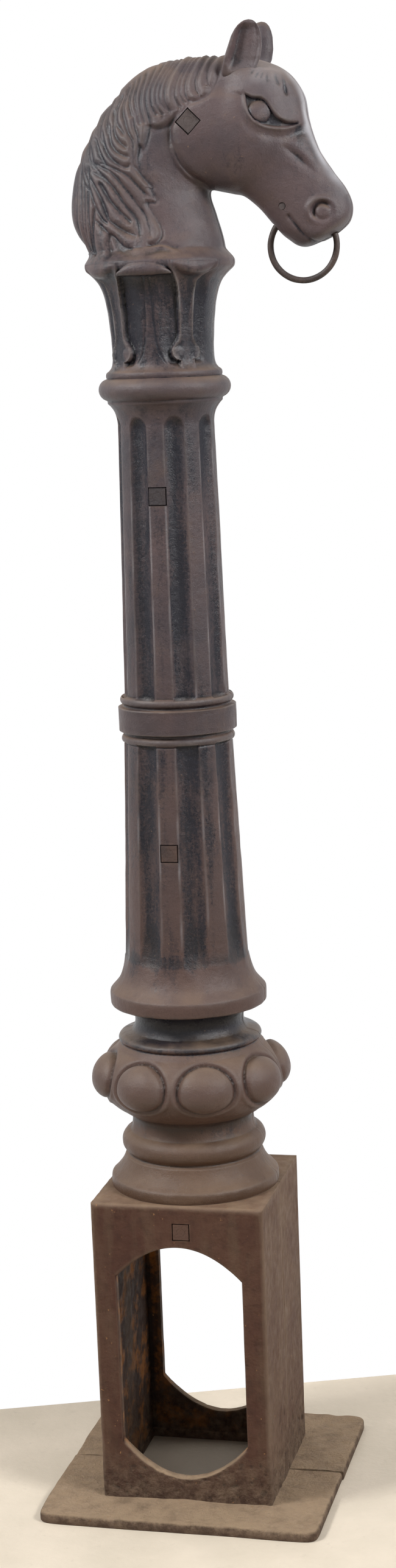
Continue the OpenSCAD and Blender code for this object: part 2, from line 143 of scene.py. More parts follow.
def block(low, high, place, turn=0):
    """A cutter from corner low to corner high, turned about Y by some degrees and then moved to its place."""
    corners = np.array(list(itertools.product(*zip(low, high))), float)
    c, s = np.cos(np.radians(turn)), np.sin(np.radians(turn))
    corners = corners @ np.array([[c, 0, -s], [0, 1, 0], [s, 0, c]]) + place
    faces = [[0, 1, 3, 2], [4, 6, 7, 5], [0, 4, 5, 1], [2, 3, 7, 6], [0, 2, 6, 4], [1, 5, 7, 3]]
    return add_piece("cutter", corners, faces)


MEET_FADE = (1, 7)  # distance from a meeting line over which hollows come back
NUT_FADE = (12, 34)  # and distance from the middle of a nut
SHARP_EDGE = 55  # an edge shows as sharp from this angle on, in degrees


def rows_of(items, name, width, kind=float):
    """An array with one row for each point or edge of a mesh."""
    values = np.empty(len(items) * width, kind)
    items.foreach_get(name, values)
    return values.reshape(-1, width)


def mark_weathering_and_light(piece, passes, reach, paint_and_shade=None, rub_and_highlight=None, meets=(), nuts=()):
    """Marks each point with how it lies and how it has weathered; the finishes use these marks for wear and
    dust, and also for painted shade and painted highlight. Hollow is how far it lies under the surface
    smoothed by averaging neighbours, over the reach in millimetres: 1 in a groove, -1 on an edge. Sky is how
    much the smoothed surface faces up. Paint and rub, how much paint is left and how far it is rubbed bare,
    are functions of the place; the paint mark also carries painted shade round the eye and inside the
    plinth's box, and the rub mark a painted highlight. Where the casting meets its next stretch, at these
    heights, it is not hollow, nor round the nuts."""
    mesh = piece.data
    points = rows_of(mesh.vertices, "co", 3)
    normals = rows_of(mesh.vertices, "normal", 3)
    ends = rows_of(mesh.edges, "vertices", 2, np.int32)
    a, b = np.concatenate([ends, ends[:, ::-1]]).T
    count = np.maximum(np.bincount(a, minlength=len(points)), 1)

    def neighbours(values):
        """The mean over each point's neighbours."""
        return np.stack([np.bincount(a, values[b, i], len(points)) / count for i in range(3)], -1)

    smooth = points
    for _ in range(passes):
        smooth = (smooth + neighbours(smooth)) / 2
    hollow = ((smooth - points) * normals).sum(-1) / METRE / reach
    place = points / METRE
    for height in meets:
        hollow = hollow * soft_step(*MEET_FADE, np.abs(place[:, 2] - height))
    for node in nuts:
        middle = sum(node_box(node)) / 2
        hollow = hollow * soft_step(*NUT_FADE, np.linalg.norm((place - middle)[:, [0, 2]], axis=-1))
    marks = {"hollow": np.clip(hollow, -1, 1), "sky": neighbours(normals)[:, 2]}
    marks |= {name: worn(place) for name, worn in (("paint_and_shade", paint_and_shade), ("rub_and_highlight", rub_and_highlight)) if worn}
    for name, values in marks.items():
        mesh.attributes.new(name, "FLOAT", "POINT").data.foreach_set("value", values.astype(np.float32))
    mesh.polygons.foreach_set("use_smooth", np.ones(len(mesh.polygons), bool))
    mesh.set_sharp_from_angle(angle=np.radians(SHARP_EDGE))


class Finish:
    """A node tree that is put together step by step on Object coordinates and the marks of weathering,
    painted shade and painted highlight.
    """

    def __init__(self, name, gloss):
        self.gloss = gloss
        self.material = bpy.data.materials.new(name)
        self.material.use_nodes = True
        self.tree = self.material.node_tree
        self.shader = self.tree.nodes["Principled BSDF"]
        self.place = self.tree.nodes.new("ShaderNodeTexCoord").outputs["Object"]

    def put(self, socket, value):
        """Links an output to a socket, or sets the socket to a number or an opaque colour."""
        if hasattr(value, "links"):
            self.tree.links.new(value, socket)
        else:
            socket.default_value = (*value, 1) if isinstance(value, tuple) else value

    def noise(self, scale, detail=4, rough=0.55, stretch=(1, 1, 1)):
        """Cloudy noise about 0.5, with so many lumps to the metre, drawn out along an axis where the stretch
        is below 1."""
        mapping = self.tree.nodes.new("ShaderNodeMapping")
        self.put(mapping.inputs["Vector"], self.place)
        mapping.inputs["Scale"].default_value = stretch
        node = self.tree.nodes.new("ShaderNodeTexNoise")
        self.put(node.inputs["Vector"], mapping.outputs["Vector"])
        node.inputs["Scale"].default_value = scale
        node.inputs["Detail"].default_value = detail
        node.inputs["Roughness"].default_value = rough
        return node.outputs["Fac"]

    def height(self):
        """Height above the floor in metres."""
        node = self.tree.nodes.new("ShaderNodeSeparateXYZ")
        self.put(node.inputs[0], self.place)
        return node.outputs["Z"]

    def mark(self, name):
        """A weathering mark of the mesh."""
        node = self.tree.nodes.new("ShaderNodeAttribute")
        node.attribute_name = name
        return node.outputs["Fac"]

    def spread(self, value, low, high, to_low=0.0, to_high=1.0):
        """Stretches a value from low..high to to_low..to_high and stops at both ends."""
        node = self.tree.nodes.new("ShaderNodeMapRange")
        for socket, number in zip(node.inputs, (value, low, high, to_low, to_high)):
            self.put(socket, number)
        return node.outputs["Result"]

    def sum_up(self, operation, value, *others):
        """Adds or multiplies values, one after the other."""
        for other in others:
            node = self.tree.nodes.new("ShaderNodeMath")
            node.operation = operation
            self.put(node.inputs[0], value)
            self.put(node.inputs[1], other)
            value = node.outputs[0]
        return value

    def cover(self, amount, under, over):
        """Lays one colour over another by an amount from 0 to 1."""
        node = self.tree.nodes.new("ShaderNodeMix")
        node.data_type = "RGBA"
        self.put(node.inputs["Factor"], amount)
        self.put(node.inputs["A"], under)
        self.put(node.inputs["B"], over)
        return node.outputs["Result"]

    def stain(self, under, value, low, high, most, over):
        """Lays one colour over another, by 0 to most as a value goes from low to high."""
        return self.cover(self.spread(value, low, high, 0, most), under, over)

    def close(self, colour, rough, *bumps):
        """Sets colour and roughness, and stacks the bumps, each a height and its depth in metres."""
        self.put(self.shader.inputs["Base Color"], colour)
        self.put(self.shader.inputs["Roughness"], rough)
        self.shader.inputs["Specular IOR Level"].default_value = self.gloss
        below = None
        for height, depth in bumps:
            bump = self.tree.nodes.new("ShaderNodeBump")
            bump.inputs["Distance"].default_value = depth
            self.put(bump.inputs["Height"], height)
            if below:
                self.put(bump.inputs["Normal"], below)
            below = bump.outputs["Normal"]
        self.put(self.shader.inputs["Normal"], below)
        return self.material


RUST_DARK, RUST_LIGHT = (0.056, 0.024, 0.016), (0.075, 0.037, 0.024)
RUST_GRAIN = (0.030, 0.019, 0.016)
RUST_STREAK = (0.105, 0.072, 0.046)
INSIDE_SHADE_BROWN = (0.030, 0.018, 0.013)
SIDE_DUST = (0.165, 0.115, 0.078)
ORANGE_RUST = (0.30, 0.115, 0.024)
HOLLOW_SHADE_BLACK = (0.014, 0.010, 0.009)
EDGE_WEAR_AND_HIGHLIGHT_BROWN = (0.15, 0.105, 0.075)
EARTH_DARK, EARTH_LIGHT = (0.075, 0.050, 0.034), (0.36, 0.26, 0.175)
PLATE_DUST = (0.33, 0.235, 0.15)
BRIGHT_SPECK = (0.30, 0.155, 0.065)


def plinth_iron():
    """Red brown rusted iron, mottled and specked, with patches of orange rust and painted shade inside the
    box.
    The pits and hollows get painted shade, and the edges a lighter brown that is partly wear and partly
    painted highlight. Low down and on the plate it is crusted with earth and dust, tan over dark brown. The
    mark of the inside is 1 inside the box and -1 on its sides."""
    rust = Finish("plinth_iron", gloss=0.2)
    inside_mark, hollow, sky, height = rust.mark("paint_and_shade"), rust.mark("hollow"), rust.mark("sky"), rust.height()
    colour = rust.stain(RUST_DARK, rust.noise(13, 5, 0.6), 0.38, 0.62, 1, RUST_LIGHT)
    colour = rust.stain(colour, rust.noise(90, 6, 0.7), 0.5, 0.72, 0.5, RUST_GRAIN)
    colour = rust.stain(colour, rust.noise(45, 5, 0.6, (1, 1, 0.15)), 0.5, 0.7, 0.35, RUST_STREAK)
    # Painted shade: the inside of the box is darkened towards dark brown.
    colour = rust.stain(colour, inside_mark, 0, 1, 0.5, INSIDE_SHADE_BROWN)
    cloudy = rust.spread(rust.noise(26, 6, 0.65), 0.3, 0.7, 0.15, 0.5)
    colour = rust.cover(rust.sum_up("MULTIPLY", rust.spread(inside_mark, 0, -1), cloudy), colour, SIDE_DUST)
    patches = rust.spread(rust.noise(30, 6, 0.65), 0.48, 0.6, 0, 0.9)
    colour = rust.cover(rust.sum_up("MULTIPLY", patches, rust.spread(inside_mark, 0, 1)), colour, ORANGE_RUST)
    # Painted shade darkens pits and hollows.
    colour = rust.stain(colour, hollow, 0.1, 0.8, 0.8, HOLLOW_SHADE_BLACK)
    # Edges get a lighter brown, partly worn iron and partly painted highlight.
    colour = rust.stain(colour, hollow, -0.2, -0.8, 0.35, EDGE_WEAR_AND_HIGHLIGHT_BROWN)
    uneven = rust.sum_up("MULTIPLY", rust.noise(30, 5, 0.65), 0.09)
    crust = rust.spread(rust.sum_up("ADD", height, uneven), 0.125, 0.055, 0, 0.85)
    earth = rust.stain(EARTH_DARK, rust.noise(75, 7, 0.7), 0.40, 0.64, 1, EARTH_LIGHT)
    colour = rust.cover(rust.sum_up("MULTIPLY", crust, rust.spread(sky, -0.2, 0.8, 0.35, 1)), colour, earth)
    dusty = rust.sum_up("MULTIPLY", rust.spread(sky, 0.3, 0.95),
                        rust.spread(rust.noise(40, 5), 0.3, 0.6, 0.45, 0.95),
                        rust.spread(height, 0.05, 0.2, 1, 0.35))
    colour = rust.cover(dusty, colour, PLATE_DUST)
    colour = rust.stain(colour, rust.noise(210, 3, 0.6), 0.70, 0.74, 0.8, BRIGHT_SPECK)
    rough = rust.spread(rust.noise(90), 0.3, 0.7, 0.6, 0.9)
    grit = rust.sum_up("MULTIPLY", rust.noise(260, 7, 0.7), rust.spread(crust, 0, 1, 0.35, 2.2))
    return rust.close(colour, rough, (grit, 0.0022), (rust.noise(60, 3), 0.0015))


PLATE_LOW, PLATE_HIGH = node_box("right_plinth_half")
PLATE_THICK = 12
PLATE_POWER = 26  # power of the rim's superellipse, which makes its corners round
BOX_HALF_WIDTH = 100
BOX_HALF_DEPTH = 103
BOX_TOP = PLATE_HIGH[2]
BOX_WALL = 11
WINDOW_HALF = 73.5
WINDOW_SILL = 38  # lowest and highest point of the window, above the floor
WINDOW_HEAD = 318
ARCH_RISE = 38
SILL_FALL = 42
WORN_EDGE = 4  # radius of the box's worn edges
WORN_LIP = 3  # depth of the window's worn lip
LIP_SPREAD = 0.03  # the worn lip's share of the way from the window to the box's edge
SUNK = 6  # height at which the box's walls end, inside the plate
FACE_ROWS, SIDE_ROWS, INNER_ROWS, BACK_ROWS = 26, 48, 16, 10  # loops on each stretch of the box's skin
SEAM_EDGE = 1.2  # where the sides begin to turn in at the parting plane


def loop_of(low_left, high_right, bow, counts):
    """Points round an upright rectangle from its low left corner: sill, right side, top and left side.
    The sill and the top bow out by arcs, whose height is bow * (1 - s^2) with s from -1 to 1."""
    (x0, z0), (x1, z1) = low_left, high_right
    across, up = (np.linspace(0, 1, n, endpoint=False) for n in counts)
    arc = 1 - (2 * across - 1) ** 2
    sill = np.stack([x0 + (x1 - x0) * across, z0 - bow[0] * arc], -1)
    right = np.stack([np.full_like(up, x1), z0 + (z1 - z0) * up], -1)
    top = np.stack([x1 - (x1 - x0) * across, z1 + bow[1] * arc], -1)
    left = np.stack([np.full_like(up, x0), z1 - (z1 - z0) * up], -1)
    return np.concatenate([sill, right, top, left])


def box_points():
    """The half box as a closed ring of loops: out of the window over the face, round the worn edge and back
    along the sides and top to the parting plane, then forward along the inside and through the window."""
    counts = (60, 110)  # points along a sill or top, and along a side
    window = loop_of((-WINDOW_HALF, WINDOW_SILL + SILL_FALL), (WINDOW_HALF, WINDOW_HEAD - ARCH_RISE),
                     (SILL_FALL, ARCH_RISE), counts)
    face = loop_of((-BOX_HALF_WIDTH, SUNK), (BOX_HALF_WIDTH, BOX_TOP), (0, 0), counts)
    inside = loop_of((-BOX_HALF_WIDTH + BOX_WALL, SUNK), (BOX_HALF_WIDTH - BOX_WALL, BOX_TOP - BOX_WALL),
                     (0, 0), counts)
    buried = np.arange(len(face)) < counts[0]  # the points of a loop's sill, which stay in the plate
    middle = np.array([0, (PLATE_THICK + BOX_TOP) / 2])

    def towards(loop, distance):
        """The loop drawn in towards the middle of the face, square to its sides."""
        reach = np.abs(loop - middle).max(axis=0)
        return middle + (loop - middle) * (1 - distance / reach)

    def level(loop, y):
        """The loop stood upright at this y."""
        return np.stack([loop[:, 0], np.full(len(loop), float(y)), loop[:, 1]], -1)

    def backward(loop, y, front, sunk):
        """The loop moved back to this y, but its sill stays at the front and sinks further into the plate."""
        points = level(loop, y)
        points[buried] = level(loop, front)[buried] - [0, 0, sunk]
        return points

    front = -BOX_HALF_DEPTH
    deep = front + BOX_WALL
    turn = np.radians([0, 22.5, 45, 67.5, 90])
    rows = [level(window, front + BOX_WALL / 2), level(window, front + WORN_LIP)]
    lip = window + (face - window) * LIP_SPREAD
    rows += [level(window + (lip - window) * (1 - np.cos(t)), front + WORN_LIP - WORN_LIP * np.sin(t))
             for t in turn[1:]]
    edge = towards(face, WORN_EDGE)
    rows += [level(lip + (edge - lip) * share, front) for share in np.linspace(0, 1, FACE_ROWS)[1:-1]]
    rows += [backward(towards(face, WORN_EDGE * (1 - np.sin(t))), front + WORN_EDGE * (1 - np.cos(t)),
                      front, 0.1 * i) for i, t in enumerate(turn)]
    back = np.linspace(front + WORN_EDGE, -SEAM_EDGE, SIDE_ROWS)[1:]
    rows += [backward(face, y, front, 1 + 3 * (y - front) / -front) for y in back]
    rows += [backward(towards(face, 1), 0, front + 2, 4.5), backward(inside, 0, deep - 2, 4.5)]
    forward = np.linspace(0, deep, INNER_ROWS)[1:]
    rows += [backward(inside, y, deep, 4 * (y - deep) / -deep) for y in forward]
    rows += [level(inside + (window - inside) * share, deep) for share in np.linspace(0, 1, BACK_ROWS)[1:]]
    return np.array(rows)


PLATE_RAYS = 240
OPENING_ROOM = 0.5  # the plate reaches so far in past the box's inside


def plate_points():
    """Half of the plate: a flat section from the opening under the box to the rim, carried round the half
    circle of directions. The rim is a rectangle with round corners, a superellipse of high power."""
    turn = np.radians(np.linspace(180, 360, PLATE_RAYS))[:, None]
    ray = np.concatenate([np.cos(turn), np.sin(turn)], -1)
    ray[[0, -1], 1] = 0
    opening = np.array([BOX_HALF_WIDTH, BOX_HALF_DEPTH]) - BOX_WALL - OPENING_ROOM
    rim = np.array([PLATE_HIGH[0], -PLATE_LOW[1]])
    near = ray / np.abs(ray / opening).max(-1, keepdims=True)
    far = ray / (np.abs(ray / rim) ** PLATE_POWER).sum(-1, keepdims=True) ** (1 / PLATE_POWER)
    over, under = np.linspace(0, 0.97, 30), np.linspace(0.95, 0, 8)
    rim_share, rim_drop = np.array([[0.985, 0.995, 1, 1, 0.99], [0.5, 1.8, 4, 10.5, 12]])
    share = np.concatenate([over, rim_share, under])
    height = np.concatenate([0 * over + PLATE_THICK, PLATE_THICK - rim_drop, 0 * under])
    flat = near[:, None] + (far - near)[:, None] * share[:, None]
    return np.concatenate([flat, np.broadcast_to(height[:, None], flat.shape[:-1] + (1,))], -1)


PIT_SIZE = 5.5
PIT_DEEP = 2.2
PIT_LEVEL = 0.25  # lumps higher than this are pits
PIT_HEIGHTS = (150, 20)  # heights over which the pits come in, downwards
FACE_Y = 90  # what lies beyond this distance from the parting plane is the face


def box_half(side):
    """The half box, uneven from the sand mould and pitted low down."""
    box = box_points()
    skin = cast_skin(box, (0.5, 34, side), (0.3, 9, side + 5))
    pits = np.maximum(lumps(box, PIT_SIZE, side + 9) - PIT_LEVEL, 0) * PIT_DEEP
    pits = pits * soft_step(*PIT_HEIGHTS, box[..., 2])
    inward = np.where(np.abs(box[..., [1]]) > FACE_Y, [0, 1, 0], [1, 0, 0]) * -np.sign(box + [0, 0.01, 0])
    seam = np.abs(box[..., 1]) < 0.01
    box = box + inward * ((pits - skin) * ~seam)[..., None]
    return box * [1, side, 1], quads(*box.shape[:2], ring=True, tube=True)


PLATE_SEAM = 0.4  # how far each half plate stays back from the parting plane
PLATE_GAP = 2.5  # how far the left one stands open at its end
GAP_ALONG, GAP_ACROSS = (105, 165), (-40, 0)  # where that gap comes in, along X and towards the plane
PLATE_WORN = 0.8  # what has rusted off the plate's top
RIM_LOST, RIM_UNEVEN = 0.008, 0.007  # shares of its reach that the rim has lost


def plate_half(side):
    """The half plate, uneven on top and rusted away at its rim. The left half's edge stands open at one
    end."""
    plate = plate_points()
    rim = soft_step(0.5, 1, np.abs(plate[..., :2] / PLATE_HIGH[0]).max(-1))
    wear = cast_skin(plate, (1.2, 45, side + 20), (0.8, 13, side + 21))
    plate[..., :2] *= (1 - rim * (RIM_LOST + RIM_UNEVEN * lumps(plate, 60, side + 22)))[..., None]
    plate[..., 2] += np.where(plate[..., 2] > 2, wear - PLATE_WORN, 0)
    gap = PLATE_GAP * soft_step(*GAP_ALONG, plate[..., 0]) * soft_step(*GAP_ACROSS, plate[..., 1])
    plate[..., 1] -= np.where(plate[..., 1] > -0.01, PLATE_SEAM, 0) + (gap if side < 0 else 0)
    return plate * [1, side, 1], closed_tube(*plate.shape[:2])


NUT_WIDTH = 18
NUT_ROOM = 1.2  # gap round a nut in its pocket
POCKET_DEEP = 6.5
POCKET_OUT = 25  # how far the pocket's cutter reaches out of the casting


def nut_pocket(node, side, turn=0):
    """The square pocket that lets a nut or a bolt's head in flush with the casting, found from the nut."""
    low, high = node_box(node)
    half = NUT_WIDTH / 2 + NUT_ROOM
    x, _, z = (low + high) / 2
    face = np.abs(low[1])
    back, front = sorted((-side * (face - POCKET_DEEP), -side * (face + POCKET_OUT)))
    return block((-half, back, -half), (half, front, half), (x, 0, z), turn)


OFF_ENDS = 3  # the inside keeps so far from the plate and the top
ON_SIDE = 2  # what lies so near the sides counts as their surface


def inside_box(points):
    """1 inside the box, where damp has left patches of rust and painted shade darkens it, -1 on its dusty
    sides, and 0 elsewhere.
    """
    x, y, z = np.abs(points).T
    between = (z > PLATE_THICK + OFF_ENDS) & (z < BOX_TOP - OFF_ENDS)
    inside = (x < BOX_HALF_WIDTH - WORN_EDGE) & (y < BOX_HALF_DEPTH - WORN_EDGE) & between
    beside = (x > BOX_HALF_WIDTH - ON_SIDE) & (z > PLATE_THICK)
    return inside.astype(float) - beside


iron = plinth_iron()
for half, side in HALVES.items():
    piece = add_piece(f"{half}_plinth_casting", *box_half(side))
    carve(piece, [nut_pocket("plinth_nut", side)])
    join(piece, add_piece("plate", *plate_half(side)))
    mark_weathering_and_light(piece, passes=14, reach=0.9, paint_and_shade=inside_box)
    piece.data.materials.append(iron)
    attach(piece, "post")
    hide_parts(f"{half}_plinth_half")


# The column stands on the plinth and is cast in one with it: a turned foot, a bulb ringed with round bosses,
# two fluted shafts with a band between them, and a capital of leaves and channels under the collar.
# The iron is worn brown, and old blue black paint is left in the flutes and hollows.

COLUMN_LOW, COLUMN_HIGH = node_box("right_column_half")
FOOT_Z, COLLAR_Z = COLUMN_LOW[2], COLUMN_HIGH[2]

IRON_DARK, IRON_LIGHT = (0.037, 0.029, 0.034), (0.068, 0.046, 0.047)
IRON_BROWN = (0.088, 0.058, 0.046)
LOW_BROWN = (0.076, 0.041, 0.030)
FOOT_BROWN = (0.080, 0.043, 0.022)
OLD_PAINT_AND_SHADE = (0.007, 0.008, 0.014)
GRAIN_BLACK = (0.010, 0.009, 0.010)
GROOVE_SHADE_BLACK = (0.006, 0.005, 0.006)
EDGE_WEAR_AND_HIGHLIGHT_GREY = (0.15, 0.13, 0.118)
LEDGE_DUST = (0.165, 0.112, 0.074)
RUBBED_AND_HIGHLIGHT_GREY = (0.42, 0.42, 0.45)
RUST_FLECK = (0.17, 0.105, 0.062)


def worn_iron():
    """Brown iron with old paint: purplish brown and matt where bare, browner low down, blue black and glossy
    where the paint is left in hollows, in streaks and in grainy patches, with dust on top. The deepest
    grooves get painted shade, the edges a lighter grey that is partly wear and partly painted highlight, and
    the rubbed lines a pale grey that is bare iron and painted highlight. The paint mark also carries painted
    shade round the eye."""
    coat = Finish("worn_iron", gloss=0.3)
    hollow, height = coat.mark("hollow"), coat.height()
    colour = coat.stain(IRON_DARK, coat.noise(11, 5, 0.6), 0.38, 0.62, 1, IRON_LIGHT)
    colour = coat.stain(colour, coat.noise(23, 6, 0.7), 0.52, 0.7, 0.45, IRON_BROWN)
    colour = coat.stain(colour, height, 1.0, 0.5, 0.8, LOW_BROWN)
    colour = coat.stain(colour, height, 0.5, 0.4, 0.7, FOOT_BROWN)
    paint_and_shade = coat.sum_up("ADD", coat.mark("paint_and_shade"), coat.spread(hollow, -0.2, 0.6, -0.1, 0.38),
                        coat.spread(coat.noise(55, 6, 0.65, (1, 1, 0.1)), 0.35, 0.65, -0.3, 0.3),
                        coat.spread(coat.noise(16, 4, 0.6, (1, 1, 0.4)), 0.35, 0.65, -0.2, 0.2),
                        coat.spread(coat.noise(330, 5, 0.75), 0.35, 0.65, -0.22, 0.22))
    paint_and_shade = coat.spread(paint_and_shade, 0.12, 0.62, 0, 0.94)
    colour = coat.cover(paint_and_shade, colour, OLD_PAINT_AND_SHADE)
    colour = coat.stain(colour, coat.noise(900, 3, 0.7), 0.5, 0.75, 0.45, GRAIN_BLACK)
    # Painted shade in the deepest grooves.
    colour = coat.stain(colour, hollow, 0.35, 1.0, 0.55, GROOVE_SHADE_BLACK)
    # Edges get a lighter grey, partly worn iron and partly painted highlight.
    colour = coat.stain(colour, hollow, -0.2, -0.9, 0.28, EDGE_WEAR_AND_HIGHLIGHT_GREY)
    dusty = coat.sum_up("MULTIPLY", coat.spread(coat.mark("sky"), 0.25, 0.85),
                        coat.spread(coat.noise(22), 0.35, 0.6, 0.05, 0.5))
    colour = coat.cover(dusty, colour, LEDGE_DUST)
    # Pale grey where the iron is rubbed bare, and painted highlight along edges, nose and brow.
    colour = coat.cover(coat.mark("rub_and_highlight"), colour, RUBBED_AND_HIGHLIGHT_GREY)
    colour = coat.stain(colour, coat.noise(240, 3, 0.6), 0.71, 0.76, 0.7, RUST_FLECK)
    rough = coat.sum_up("ADD", coat.spread(paint_and_shade, 0, 0.9, 0.44, 0.28),
                        coat.spread(coat.noise(60, 6, 0.65), 0.3, 0.7, -0.06, 0.06),
                        coat.sum_up("MULTIPLY", dusty, 0.3))
    return coat.close(colour, rough, (coat.noise(700, 6, 0.7), 0.0004), (coat.noise(120, 4), 0.0008))


def straight(start, end, count):
    """Points of a straight stretch of the side view, without its end."""
    return np.linspace(start, end, count, endpoint=False)


def round_about(middle, radius, start, end, count):
    """Points of an arc of the side view; 0 degrees is outwards and 90 is up."""
    turn = np.radians(np.linspace(start, end, count))
    return np.array(middle) + radius * np.stack([np.cos(turn), np.sin(turn)], -1)


def through(points, count):
    """A smooth curve through points, as a Catmull-Rom spline, without its end."""
    points = np.array(points, float)
    steps = np.linspace(0, len(points) - 1, count, endpoint=False)
    i = steps.astype(int)
    f = (steps - i)[:, None]
    last = len(points) - 1
    a, b, c, d = (points[np.clip(i + k, 0, last)] for k in (-1, 0, 1, 2))
    square, cube = a - 2.5 * b + 2 * c - d / 2, 1.5 * b - 1.5 * c + (d - a) / 2
    return b + f * (c - a) / 2 + f**2 * square + f**3 * cube


SHAFTS = {"lower": (70, 61, 640, 884), "upper": (58.5, 53, 938, 1237)}  # radii and heights of the two shafts
BAND = (885.5, 936.5)  # between these heights no flute runs
FLUTE_DEEP = 5.4
FLUTE_ROUND = 0.8  # power of a flute's hollow
FLUTE_FOOT = (646, 26)  # height at which the lower flutes begin to run out, and over what length
FLUTE_FADE = (612, 672)  # heights over which they come up out of the flange
FLUTE_TOP = (1231, 14)  # where the upper flutes begin to run out, and over what length
FLUTE_HALF = 12.5  # half the width of a flute, in degrees round the column
RAYS = np.array([22.5, 67.5])  # where flutes and bosses lie, in degrees to each side of the half's middle
BULB_MIDDLE = np.array([59, 492])
BULB_ROUND = 49
BULB_SQUASH = 0.8  # height of the bulb's lower half over its upper half
BOSS_Z = 501
BOSS_ROUND = 33
BOSS_PROUD = 10.5
BOSS_GIRTH = 105  # radius of the bulb at the bosses
BOSS_GROOVE = 3.8  # depth of the groove round a boss
BOSS_RING = 1.4  # height of the ring outside it
BULB_SUNK = 2.5  # how far the bulb lies back between the bosses
BULB_FOOT, BULB_HEAD = (454, 460), (537, 532)  # heights over which this relief begins and ends
LIP_REACH = 81.5  # radius of the capital's lip at the collar


def column_profile():
    """The side view of the column from foot to collar, as radius and height: arcs, straight stretches and
    curves."""
    foot = [through([(97, FOOT_Z), (97.4, 371), (97, 377), (95.5, 380), (91, 384), (86, 390), (82, 397),
                     (79.5, 403)], 22),
            through([(79.5, 403), (77, 405), (76.5, 407)], 5),
            round_about((69, 419), 14, -50, 72, 22),
            through([(72.6, 433), (71, 437), (70, 443), (70.3, 449), (72.5, 453.5)], 9)]
    round_bulb = round_about(BULB_MIDDLE, BULB_ROUND, -70, 58, 68)
    round_bulb[:, 1] += (1 - BULB_SQUASH) * np.maximum(BULB_MIDDLE[1] - round_bulb[:, 1], 0)
    bulb = [round_bulb,
            through([(84.5, 534), (81.5, 536), (80, 538), (81.8, 540.5), (82, 543), (80, 546), (74, 548.8)],
                    22),
            round_about((81.5, 563), 19.2, 222, 138, 22),
            through([(69, 577.5), (76, 580), (84, 581), (88, 582), (89.2, 584)], 14),
            through([(89.2, 584), (89.4, 590), (89.2, 597), (87.5, 600), (83, 605), (78.5, 611), (75, 619),
                     (72.5, 628), (70.5, 640)], 28)]
    shafts = [straight((SHAFTS["lower"][0], SHAFTS["lower"][2]), (61.2, 878), 18),
              straight((61.2, 878), (SHAFTS["lower"][1], SHAFTS["lower"][3]), 5),
              round_about((58.5, 889), 5, -70, 70, 12),
              through([(60, 895.2), (60.4, 896.6), (65.4, 897.6), (66, 899)], 8),
              straight((66, 899), (66, 923), 6),
              through([(66, 923), (65.6, 924.6), (60.6, 925.4), (60, 927)], 8),
              round_about((58.5, 932.6), 5, -70, 70, 12),
              straight((SHAFTS["upper"][0], SHAFTS["upper"][2]), (58.4, 944), 5),
              straight((58.4, 944), (53.6, 1205), 17),
              straight((53.6, 1205), (53, 1237), 24)]
    capital = [through([(53, 1237), (53.8, 1243), (56, 1250), (60, 1256), (63, 1259), (63.4, 1262)], 20),
               round_about((60.3, 1274), 12.2, -72, 76, 24),
               through([(63.4, 1286.5), (63.8, 1289), (63, 1292), (59.5, 1295), (57, 1299), (55.8, 1306),
                        (55.7, 1316), (56.4, 1330), (57.5, 1345), (59.5, 1362), (62.5, 1376), (66.5, 1386),
                        (71, 1392), (76, 1397), (80.3, 1401), (81.6, 1404.5), (LIP_REACH, COLLAR_Z)], 130),
               np.array([[LIP_REACH, COLLAR_Z]])]
    return np.concatenate(foot + bulb + shafts + capital)


def swell(value, at, width):
    """A soft ridge of height 1: exp(-s^2), with s the distance from a value over the width."""
    return np.exp(-(((value - at) / width) ** 2))


def off_ray(turn):
    """Degrees from the nearest ray, on which flutes and bosses lie."""
    return np.abs(np.abs(turn)[..., None] - RAYS).min(-1)


def flutes(turn, z):
    """Hollow flutes: across, (1 - s^2)^0.8 with s from -1 to 1, deepest on the rays, with a round end along
    the shaft."""
    across = off_ray(turn) / FLUTE_HALF
    past_low = np.maximum(FLUTE_FOOT[0] - z, 0) / FLUTE_FOOT[1]
    past_high = np.maximum(z - FLUTE_TOP[0], 0) / FLUTE_TOP[1]
    lower = np.maximum(1 - across**2 - past_low**2, 0) ** FLUTE_ROUND * (z < BAND[0])
    lower = lower * soft_step(*FLUTE_FADE, z)
    upper = np.maximum(1 - across**2 - past_high**2, 0) ** FLUTE_ROUND * (z > BAND[1])
    return -FLUTE_DEEP * (lower + upper)


def bosses(turn, z):
    """Round bosses on the bulb: a dome inside a groove that is deepest above, and a faint ring outside it."""
    beside = BOSS_GIRTH * np.radians(off_ray(turn))
    up = (z - BULB_MIDDLE[1]) / BULB_ROUND
    rise = BULB_ROUND * (np.arcsin(np.clip(np.where(up < 0, up / BULB_SQUASH, up), -1, 1))
                         - np.arcsin((BOSS_Z - BULB_MIDDLE[1]) / BULB_ROUND))
    away = np.hypot(beside, rise)
    above = 0.3 + 0.7 * soft_step(-22, 16, rise)
    dome = BOSS_PROUD * np.maximum(1 - (away / BOSS_ROUND) ** 2, 0) ** 0.85
    groove = -BOSS_GROOVE * swell(away - BOSS_ROUND, 0.8, 2.9) * above
    ring = BOSS_RING * swell(away - BOSS_ROUND, 6, 3.4) * (1.2 - above)
    return (dome + groove + ring - BULB_SUNK) * soft_step(*BULB_FOOT, z) * soft_step(*BULB_HEAD, z)


